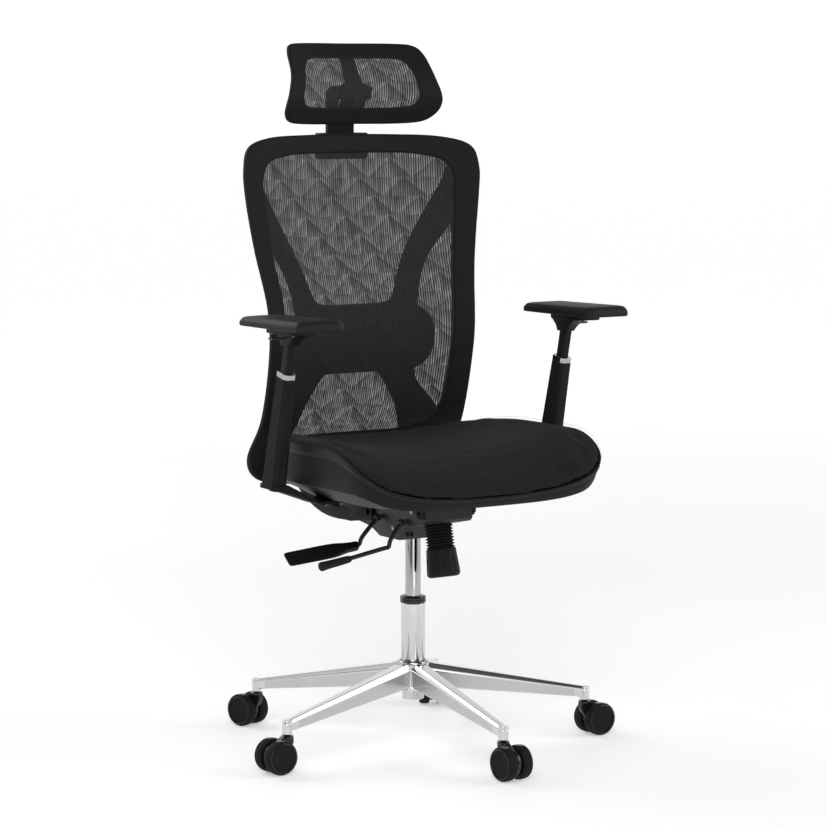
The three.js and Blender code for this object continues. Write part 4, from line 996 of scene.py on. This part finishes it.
class CHAIR_OT_mechanism(bpy.types.Operator):
    """Painted tilt housing, its bellows, ribs and steel screws"""
    bl_idname = "chair.mechanism"
    bl_label = "Mechanism"

    def execute(self, context):
        sizes = context.scene.chair_sizes
        body = softened("tilt_housing_shell", "tilt_housing", 2.2, "paint")
        mount(body, "mechanism", "black_paint", "tilt_housing")
        line = [in_row(p) for p in on_knob_axis(([(0, 0, -0.3), (0, 0, -42.2)], []))[0]]
        boot = grown("tension_bellows", bellows_tree("rubber"), {
            "Radius": 0.026, "Depth": 0.0042, "Ribs": sizes.boot_ribs}, line, edges=[(0, 1)], sharp=60)
        mount(boot, "mechanism", "rubber", "tension_boot")
        ribs = [in_row((x, -20, 388)) for x in (-38, -30, 30, 38)]
        made = grown("housing_ribs", rib_tree("paint"),
                     {"Length": 0.052, "Height": 0.006, "Thickness": 0.0022},
                     ribs, facing=[(0, 1, 0)] * len(ribs))
        mount(made, "mechanism", "black_paint")
        screws("housing_screws", [((x, y, z), (side, 0, 0)) for side in (-1, 1) for x, y, z in
               ((side * 50, -70, 434), (side * 50, 18, 432), (side * 50, -10, 398))], "mechanism",
            sizes.screw)
        return {"FINISHED"}


class CHAIR_OT_knob(bpy.types.Operator):
    """Tension knob with finger dimples"""
    bl_idname = "chair.knob"
    bl_label = "Tension knob"

    def execute(self, context):
        grips = context.scene.chair_sizes.knob_grips
        top, low = -42.6, -94.0

        def dimples(angle, height):
            share = (height - (low + 5)) / (top - low - 12)
            if not 0 < share < 1:
                return 0
            across = math.cos(angle * grips)
            return -2.6 * max(0, across) ** 1.5 * math.sin(math.pi * share) ** 0.8
        heights = [low + 11 + (top - 2 - low - 11) * i / 22 for i in range(23)]
        wall = [(30 - 0.4 - 3.0 * (h - low - 11) / (top - 2 - low - 11), h) for h in heights]
        profile = [(0, low + 1), (16, low + 1), (18, low + 0.4), (24, low), (27, low + 1.2),
                   (29.3, low + 4), (29.9, low + 7), *wall,
                   (25.6, top - 0.6), (24, top), (5, top), (5, 4), (0, 4)]
        made = shape("tension_knob_grip", [on_knob_axis(lathe(profile, 144, dimples))], "plastic", 50)
        mount(made, "knob", "black_plastic", "tension_knob")
        return {"FINISHED"}


def lever_line(y, bend, end, out):
    (bx, bz), (ex, ez) = bend, end
    share = out / (bx - ex)
    tip = (bx - out, y, bz - 2 + (ez - bz + 2) * share)
    return through([(LEVER_X, y, LEVER_Z), (LEVER_X + (bx - LEVER_X) * 0.8, y, bz + 14), (bx, y, bz),
                    (bx - 14, y, bz - 2), tip], 48)


class CHAIR_OT_levers(bpy.types.Operator):
    """Seat height paddle and tilt lock lever"""
    bl_idname = "chair.levers"
    bl_label = "Levers"

    def execute(self, context):
        hub = [(0, -5), (5, -5), (6, -4), (6, 4), (5, 5), (0, 5)]
        lift = [moved(lying(lathe(hub, 32)), LEVER_X, LIFT_Y, LEVER_Z),
                sweep(lever_line(LIFT_Y, (-98, 367), (-248, 352), 40), lambda s: circle(4, 20))]
        mount(shape("lift_rod", lift, "paint", 30), "lift_paddle_lever", "black_paint", "lift_lever")
        lock = [moved(lying(lathe(hub, 32)), LEVER_X, LOCK_Y, LEVER_Z),
                sweep(lever_line(LOCK_Y, (-86, 371), (-228, 348), 110), lambda s: circle(4, 20))]
        mount(shape("lock_rod", lock, "paint", 30), "lock_grip_lever", "black_paint", "lock_lever")
        self.paddle()
        self.grip()
        return {"FINISHED"}

    def paddle(self):
        """Flat blade that widens from a collar round the rod, leaning forward."""
        stations = through([(4, 14, 13), (26, 17, 12.5), (44, 25, 10.5), (66, 31.5, 6.4), (110, 32, 4.6),
                            (142, 31.5, 4.2), (148, 29, 3.4),
                            (150, 24, 2.2)], 40)
        lean = math.radians(38)
        rings = []
        for out, width, thick in stations:
            x, z = -98 - out, 365 - 13 * out / 150
            ring = box_ring(width, thick, min(thick * 0.46, 2.6), 5)
            c, s = math.cos(lean), math.sin(lean)
            rings.append([(x, LIFT_Y + a * c - b * s, z + a * s + b * c) for a, b in ring])
        mount(shape("lift_paddle_blade", [loft(rings)], "plastic", 45), "lift_paddle_lever",
              "black_plastic", "lift_paddle")

    def grip(self):
        profile = [(0, 0), (4.6, 0), (7.2, 1.2), (8.3, 3.6), (8.4, 6), (7.9, 14), (7.3, 26), (7.1, 36),
                   (6.9, 50), (6.3, 60), (5.6, 63.2), (4.4, 64), (0, 64)]
        wall = lathe(profile, 48, lambda angle,
                     height: -0.35 * (0.5 + 0.5 * math.cos(height * 1.3)) if 12 < height < 56 else 0)
        slope = math.degrees(math.atan2(371 - 2 - 348, 142))
        mount(shape("lock_grip_sleeve", [moved(turned(wall, 90 - slope, "Y"), -228, LOCK_Y, 348)], "rubber",
                    40),
              "lock_grip_lever", "black_plastic", "lock_grip")


# ------------------------------------------------------------------ seat
class CHAIR_OT_seat_cushion(bpy.types.Operator):
    """Foam cushion in woven cloth, swelled by simulation, with its edge cord and stitches"""
    bl_idname = "chair.seat_cushion"
    bl_label = "Seat cushion"

    def execute(self, context):
        sizes = context.scene.chair_sizes
        made = self.swelled(context)
        mount(made, "seat", "seat_cloth", "seat_cushion")
        ring = seat_ring(1, 0.6, lambda x, y: seat_seam(x, y) + 0.2)
        cord_rings = []
        for p in ring:
            out = Vector((p[0], p[1] + 30)).normalized()
            cord_rings.append([Vector(p) + Vector((a * out.x, a * out.y, b)) for a,
                               b in circle(sizes.cord * 1000, 10)])
        cord = [loft(cord_rings, loop=True)]
        mount(shape("seat_edge_cord", cord, "cloth", 60), "seat", "seat_cloth")
        line = [in_row(p) for p in seat_ring(1, -1.0, lambda x, y: seat_seam(x, y) + 6.5)]
        stitches = grown("seat_stitches", stitch_tree(), {"Pitch": sizes.stitch, "Width": 0.0009}, line,
                         edges=[(i, (i + 1) % len(line)) for i in range(len(line))], sharp=180)
        mount(stitches, "seat", "seat_cloth")
        return {"FINISHED"}

    def swelled(self, context):
        """The cushion starts a little small, and the cloth's pressure fills it out."""
        low = lambda x, y: seat_top(x, y) - 34
        rings = [seat_ring(s, 0, low) for s in (0.06, 0.5)]
        rings += [seat_ring(0.88, 0, lambda x, y: low(x, y) + 4),
                  seat_ring(1, 8, lambda x, y: seat_seam(x, y) - 2)]
        rings += [seat_ring(1, 1.2, lambda x, y: seat_seam(x, y) + 1),
                  seat_ring(1, 0.4, lambda x, y: seat_seam(x, y) + 5),
                  seat_ring(1, 1.6, lambda x, y: seat_top(x, y) - 6.5),
            seat_ring(1, 6, lambda x, y: seat_top(x, y) - 3)]
        rings += [seat_ring(1, 14, lambda x, y: seat_top(x, y) - 1.4)]
        rings += [seat_ring(s, 0, lambda x, y: seat_top(x, y) - 1.5)
                  for s in (0.9, 0.8, 0.65, 0.5, 0.35, 0.2, 0.06)]
        made = shape("seat_cushion_cloth", [loft(rings)], "cloth", 180)
        even = made.modifiers.new("even", "REMESH")
        even.mode, even.voxel_size, even.use_smooth_shade = "VOXEL", 0.006, True
        self.apply(made)
        start = [v.co.copy() for v in made.data.vertices]
        cloth = made.modifiers.new("cloth", "CLOTH")
        cloth.settings.use_pressure = True
        cloth.settings.uniform_pressure_force = CLOTH_PRESSURE
        cloth.settings.effector_weights.gravity = 0
        cloth.settings.quality = 5
        cloth.point_cache.frame_start, cloth.point_cache.frame_end = 1, CLOTH_FRAMES
        for step in range(1, CLOTH_FRAMES + 1):
            context.scene.frame_set(step)
        self.apply(made)
        context.scene.frame_set(1)
        for vertex, before in zip(made.data.vertices, start):
            x, y = (before.x - AXIS.x) / MM, (before.y - AXIS.y) / MM
            above = (before.z / MM - seat_seam(x, y)) / 13
            limit = CLOTH_REACH * max(0.05, min(1, above))
            move = vertex.co - before
            vertex.co = before + move * min(1, limit / max(move.length, 1e-9))
        made.data.shade_smooth()
        return finer(made)

    def apply(self, made):
        mesh = bpy.data.meshes.new_from_object(made.evaluated_get(bpy.context.evaluated_depsgraph_get()))
        made.modifiers.clear()
        made.data = mesh
        if not mesh.materials:
            mesh.materials.append(FINISHES["cloth"])


class CHAIR_OT_seat_pan(bpy.types.Operator):
    """Moulded pan with its trim band, lugs, ribs and screws"""
    bl_idname = "chair.seat_pan"
    bl_label = "Seat pan"

    def execute(self, context):
        sizes = context.scene.chair_sizes

        def drop(share, inset):
            return seat_ring(1, inset, lambda x,
                             y: (seat_seam(x, y) - 1.2) * (1 - share) + pan_edge(x, y) * share)
        rings = [seat_ring(0.1, 0, lambda x, y: PAN_FLOOR), seat_ring(0.45, 0, lambda x, y: PAN_FLOOR),
                 seat_ring(0.7, 0, lambda x, y: PAN_FLOOR),
                 seat_ring(0.74, 0, lambda x, y: PAN_FLOOR * 0.96 + pan_edge(x, y) * 0.04),
                 seat_ring(1, 14, pan_edge), drop(0.98, 10.5), drop(0.8, 7.5), drop(0.5, 4.6),
            drop(0.3, 3.4),
                 drop(0.24, 3.2), drop(0.2, 0.9), drop(0.15, 0.4), drop(0.05, 0.4), drop(0.0, 1.4),
                 seat_ring(1, 5, lambda x, y: seat_seam(x, y) - 3.4),
                 seat_ring(1, 16, lambda x, y: pan_edge(x, y) + 4),
            seat_ring(0.7, 0, lambda x, y: PAN_FLOOR + 4),
                 seat_ring(0.1, 0, lambda x, y: PAN_FLOOR + 4)]
        lugs = []
        for side in (-1, 1):
            lugs.append(self.lug(side))
        made = shape("seat_pan_shell", [loft(rings), *lugs], ["plastic", "trim"], 40)
        for face in made.data.polygons:
            c = face.center
            x, y, z = (c.x - AXIS.x) / MM, (c.y - AXIS.y) / MM, c.z / MM
            depth = (seat_seam(x, y) - z) / max(1, seat_seam(x, y) - pan_edge(x, y))
            rim = max(abs(x) / SEAT_HALF, abs(y + 30) / 228) > 0.8
            face.material_index = int(rim and 0 < depth < 0.25)
        mount(made, "seat", "black_plastic", "seat_pan")
        ribs = [((x, -88, 460), (0, 1, 0)) for x in range(-150, 151, 25)] + [((x, 95, 460), (0, 1, 0))
            for x in range(-125, 126, 25)]
        web = grown("pan_ribs", rib_tree("plastic"), {"Length": 0.05, "Height": 0.005, "Thickness": 0.0024},
                    [in_row(p) for p, d in ribs], facing=[d for p, d in ribs])
        mount(web, "seat", "black_plastic")
        spots = [((side * 252.5, y, 531), (side, 0, 0)) for side in (-1, 1) for y in (-70, 60)]
        spots += [((side * 165, y, 460.8), (0, 0, -1)) for side in (-1, 1) for y in (-40, 30)]
        screws("pan_screws", spots, "seat", sizes.screw)
        return {"FINISHED"}

    def lug(self, side):
        """Ear that holds the pan on its pivot pin."""
        outline = [(-120, 463), (-118, 431)] + [(-106 + 11 * math.cos(t), 435 + 11 * math.sin(t)) for t in
                                                 (math.radians(a) for a in range(200, 341, 14))] + [(-94,
                                                     431), (-66, 463)]
        return loft([[(side * x, y, z) for y, z in shrunk(outline, inset)] for x,
                     inset in ((51, 0.8), (51.6, 0), (56.4, 0), (57, 0.8))])


# ------------------------------------------------------------------ armrests
class CHAIR_OT_armrests(bpy.types.Operator):
    """Sleeves, posts, chrome rings, pads and triggers of both armrests"""
    bl_idname = "chair.armrests"
    bl_label = "Armrests"

    def execute(self, context):
        sizes = context.scene.chair_sizes
        for side, label in ((-1, "right"), (1, "left")):
            arm = f"arm_{label}"
            mount(softened(f"arm_{label}_sleeve", f"arm_sleeve_{label}", 1.1, "matt", 2), "seat",
                  "black_plastic", f"arm_sleeve_{label}")
            # The ring takes the darkened chrome: painted shade in its colour.
            mount(softened(f"arm_{label}_ring", f"arm_ring_{label}", 0.7, "smoked", 3), "seat", "chrome",
                  f"arm_ring_{label}")
            mount(softened(f"arm_{label}_post", f"arm_post_{label}", 0.8, "plastic", 2), arm,
                  "black_plastic", f"arm_post_{label}")
            neck = shape(f"arm_{label}_mount", [moved(part, side * ARM_X) for part in self.pad_mount(side)],
                         "plastic", 40)
            mount(neck, arm, "black_plastic", f"pad_mount_{label}")
            mount(softened(f"arm_{label}_trigger", f"height_trigger_{label}", 1.4, "gloss", 3),
                  f"trigger_{label}", "black_plastic", f"height_trigger_{label}")
            pad = shape(f"arm_{label}_pad", [moved(self.pad(), side * PAD_X, PAD_Y, PAD_LOW)], "skin", 60)
            mount(finer(pad), arm, "soft_pad", f"arm_pad_{label}")
            spots = [((side * (PAD_X + dx), PAD_Y + dy, 761.6), (0, 0, -1)) for dx in (-16, 16)
                     for dy in (-36, 36)]
            screws(f"arm_{label}_pad_screws", spots, arm, sizes.screw * 0.8)
            spots = [((side * x, y, 452.7), (0, 0, -1)) for x in (165, 195) for y in (-22, 14)]
            screws(f"arm_{label}_bracket_screws", spots, "seat", sizes.screw * 1.1)
        return {"FINISHED"}

    def pad_mount(self, side):
        """Plate under the pad on a neck that widens fore and aft from the post."""
        def ring(width, length, corner, y, z, x=0):
            return [(px + x, py + y, z) for px, py in box_ring(width, length, corner, 4)]
        shift = side * (PAD_X - ARM_X)
        plate = loft([ring(48, 94, 9, PAD_Y, 761.8, shift), ring(50, 96, 10, PAD_Y, 763, shift),
                      ring(50, 96, 10, PAD_Y, 769.8, shift), ring(48, 94, 9, PAD_Y, 770.7, shift)])
        flare = loft([ring(width, length, 4,
                           ARM_Y - (z - ARM_Z) * math.tan(math.radians(ARM_LEAN)) * 0.96 - out, z)
                      for width, length, out, z in through(
                          [(21, 30, 0, 739.5), (22, 33, 0, 743), (24, 42, 1, 750), (26, 60, 3, 757),
                           (28, 76, 5, 762.5)], 14)])
        return [plate, flare]

    def pad(self):
        """Flat-topped pad with a sloping shoulder all round, a little thinner towards its rear."""
        rings = []
        for inset, z in ((14, 0.3), (2.6, 0.2), (0.6, 0.9), (0, 2.6), (0, 8), (0.8, 11.4), (4.6, 17),
                         (6.2, 18.4), (12, 19.6),
                         (22, 20.8), (34, 21.4), (44, 21.6)):
            ring = box_ring(PAD_WIDTH - 2 * inset, PAD_LENGTH - 2 * inset, max(14 - inset * 0.4, 1.5), 6)
            rings.append([(x, y, z * (1 - (0.16 * (0.5 + y / PAD_LENGTH) if z > 8 else 0))) for x,
                          y in ring])
        return loft(rings)


# ------------------------------------------------------------------ back
def cloth_sheet(name, outline, face, body, node, spread=2.5):
    """A single skin of stretched mesh, its border tucked into the frame round it."""
    middle_z = sum(z for _, z in outline) / len(outline)
    wide = []
    for x, z in outline:
        out = Vector((x, z - middle_z)).normalized() * spread
        wide.append((x + out.x, z + out.y))
    made = bent_plate(name, wide, [], 0, 0, face, "webbing", step=9, sharp=180)
    mount(made, body, "mesh_cloth", node)
    across = max(x for x, _ in wide) * 2.16 * MM
    tall = (max(z for _, z in wide) - min(z for _, z in wide)) * 1.06 * MM
    return made


class CHAIR_OT_back(bpy.types.Operator):
    """Back frame, its crossed support, the mesh and the lumbar pad"""
    bl_idname = "chair.back"
    bl_label = "Back"

    def execute(self, context):
        sizes = context.scene.chair_sizes
        frame_made = bent_plate("back_frame_ring", mirrored(FRAME_OUTSIDE), [mirrored(FRAME_INSIDE)], 15,
                                4.5, back_face, "matt", sharp=60)
        mount(frame_made, "back", "black_plastic", "back_frame")
        mount(shape("neck_guide", [self.guide()], "plastic", 40), "back", "black_plastic")
        self.support(sizes)
        cloth_sheet("back_mesh_cloth", mirrored(FRAME_INSIDE), lambda x, z: back_face(x, z) + 3.2, "back",
                    "back_mesh")
        self.lumbar()
        self.bar(sizes)
        return {"FINISHED"}

    def guide(self):
        """Socket behind the top of the frame that the neck slides in."""
        rings = []
        slot, outer = (57, 13, 2), (GUIDE_WIDTH, 36, 10)
        for (width, depth, corner), less, z in (
                (slot, 0, GUIDE_LOW), (outer, 3, GUIDE_LOW), (outer, 0, GUIDE_LOW + 2.5),
                (outer, 0, GUIDE_TOP - 2), (outer, 2, GUIDE_TOP - 0.2), (slot, 0, GUIDE_TOP - 0.2)):
            width, depth = width - less, depth - less
            middle = NECK_Y if corner == 2 else NECK_Y - 6
            rings.append([(px, py + middle, z) for px, py in box_ring(width, depth, corner, 6)])
        return loft(rings, loop=True)

    def support(self, sizes):
        upper = through([(0, 783), (60, 784), (84, 795), (104, 845), (131, 900), (190, 1000), (200, 1030)],
                        48)
        outside = through([(226, 1046), (238, 1010), (216, 940), (161, 865), (138, 808), (130, 740),
                           (130, 660), (142, 630), (170, 598), (198, 560)], 60)
        lower = through([(196, 520), (150, 516), (119, 544), (98, 596), (62, 650), (40, 657), (0, 657)], 40)
        half = upper[1:] + outside + lower[:-1]
        outline = half[::-1] + [(-x, z) for x, z in half]
        made = bent_plate("back_support_cross", outline, [], 8, 2.8, lambda x,
                          z: back_face(x, z) + support_stand(z), "matt", sharp=60)
        mount(made, "back", "black_plastic", "back_support")
        spots = []
        for side in (-1, 1):
            for x, z in ((214, 1028), (212, 1000), (184, 548), (168, 536)):
                spots.append(((side * x, back_face(x, z) + support_stand(z) + 8, z), (side * 0.3, 1, 0)))
        screws("support_screws", spots, "back", sizes.screw)

    def lumbar(self):
        half, low, high, corner = 153, 657, 783, 52
        ring = [(x * 1.0, z + 720) for x, z in box_ring(2 * half, high - low, corner, 12)]
        made = bent_plate("lumbar_pad_shell", ring, [], 8, 3.2, lambda x, z: back_face(x, z) + 16, "matt",
                          step=12, sharp=60)
        mount(made, "lumbar", "black_plastic", "lumbar_pad")

    def bar(self, sizes):
        """J-shaped bar from the pivot, under and up behind the frame."""
        def bend(z):
            return back_face(0, z) + 19
        stations = through([(122, 408, 0, 57, 28), (182, 406, 4, 60, 26), (bend(452) - 40, 412, 22, 60, 24),
                            (bend(452) + 2, 434, 55, 68, 20),
                            (bend(470) + 8, 470, 84, 86, 15), (bend(505) + 8, 505, 106, 96, 14),
            (bend(535) + 10, 535, 116, 96, 12)], 48)
        rings = []
        for y, z, angle, half, thick in stations:
            c, s = math.cos(math.radians(angle)), math.sin(math.radians(angle))
            ring = box_ring(2 * half, thick, min(5.5, thick * 0.42), 5)
            rings.append([(a, y - s * b, z + c * b) for a, b in ring])
        parts = [loft(rings)] + [self.cheek(side) for side in (-1, 1)]
        mount(shape("back_bar_curve", parts, "plastic", 40), "back", "black_plastic", "back_bar")
        spots = [((x, bend(z) + y, z), (0, 1, 0.1)) for x in (-62, 62) for z,
                 y in ((500, 14.5), (524, 14.5))]
        screws("bar_screws", spots, "back", sizes.screw * 1.2)

    def cheek(self, side):
        outline = [(48, 412), (56, 404), (122, 394), (162, 394), (162, 422), (82, 432), (54, 432)]
        return loft([[(side * x, y, z) for y, z in shrunk(outline, inset)] for x,
                     inset in ((51, 1), (51.8, 0), (56.2, 0), (57, 1))])


# ------------------------------------------------------------------ headrest
class CHAIR_OT_headrest(bpy.types.Operator):
    """Headrest frame, its mesh, the cross behind it and the neck"""
    bl_idname = "chair.headrest"
    bl_label = "Headrest"

    def execute(self, context):
        made = bent_plate("headrest_frame_ring", mirrored(HEAD_OUTSIDE), [mirrored(HEAD_INSIDE)], 12, 4.2,
                          head_face, "matt", step=9, sharp=60)
        mount(made, "headrest", "black_plastic", "headrest_frame")
        cloth_sheet("headrest_mesh_cloth", mirrored(HEAD_INSIDE), lambda x, z: head_face(x, z) + 3.2,
                    "headrest", "headrest_mesh")
        mount(softened("headrest_cross", "headrest_bracket", 1.6, "plastic", 2), "headrest",
              "black_plastic", "headrest_bracket")
        mount(softened("headrest_neck_blade", "headrest_neck", 2.0, "plastic", 3), "headrest_post",
              "black_plastic", "headrest_neck")
        return {"FINISHED"}


class CHAIR_OT_small_parts(bpy.types.Operator):
    """Pins, axles, spring, rod, bearing and clip that keep the frame's own shape"""
    bl_idname = "chair.small_parts"
    bl_label = "Small steel parts"

    def execute(self, context):
        steel = ["piston_rod", "thrust_bearing", "retaining_clip", "tension_spring", "seat_pivot_pin",
                 "back_pivot_pin"]
        steel += [f"caster_axle_{k + 1}" for k in range(LEG_COUNT)]
        for node in steel:
            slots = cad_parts[node].material_slots
            slots[0].material = FINISHES["steel"]
        return {"FINISHED"}


class CHAIR_PT_panel(bpy.types.Panel):
    """Lists the pieces of the chair and their sizes and colours"""
    bl_idname = "CHAIR_PT_panel"
    bl_label = "Office Chair"
    bl_space_type = "VIEW_3D"
    bl_region_type = "UI"
    bl_category = "Office Chair"

    def draw(self, context):
        layout = self.layout
        for group in (context.scene.chair_finish, context.scene.chair_sizes):
            for name in group.__annotations__:
                layout.prop(group, name)
        for operator in OPERATORS:
            layout.operator(operator.bl_idname)


OPERATORS = (
    CHAIR_OT_stage, CHAIR_OT_star_base, CHAIR_OT_column, CHAIR_OT_casters, CHAIR_OT_mechanism,
    CHAIR_OT_knob,
    CHAIR_OT_levers, CHAIR_OT_seat_pan, CHAIR_OT_seat_cushion, CHAIR_OT_armrests, CHAIR_OT_back,
    CHAIR_OT_headrest, CHAIR_OT_small_parts)
CLASSES = (ChairFinish, ChairSizes, *OPERATORS, CHAIR_PT_panel)


def register():
    for made in CLASSES:
        bpy.utils.register_class(made)
    bpy.types.Scene.chair_finish = PointerProperty(type=ChairFinish)
    bpy.types.Scene.chair_sizes = PointerProperty(type=ChairSizes)


def unregister():
    del bpy.types.Scene.chair_sizes
    del bpy.types.Scene.chair_finish
    for made in reversed(CLASSES):
        bpy.utils.unregister_class(made)


def main():
    register()
    scene = bpy.context.scene
    make_finishes(scene.chair_finish, scene.chair_sizes)
    for operator in OPERATORS:
        section, call = operator.bl_idname.split(".")
        getattr(getattr(bpy.ops, section), call)()


if __name__ == "__main__":
    main()
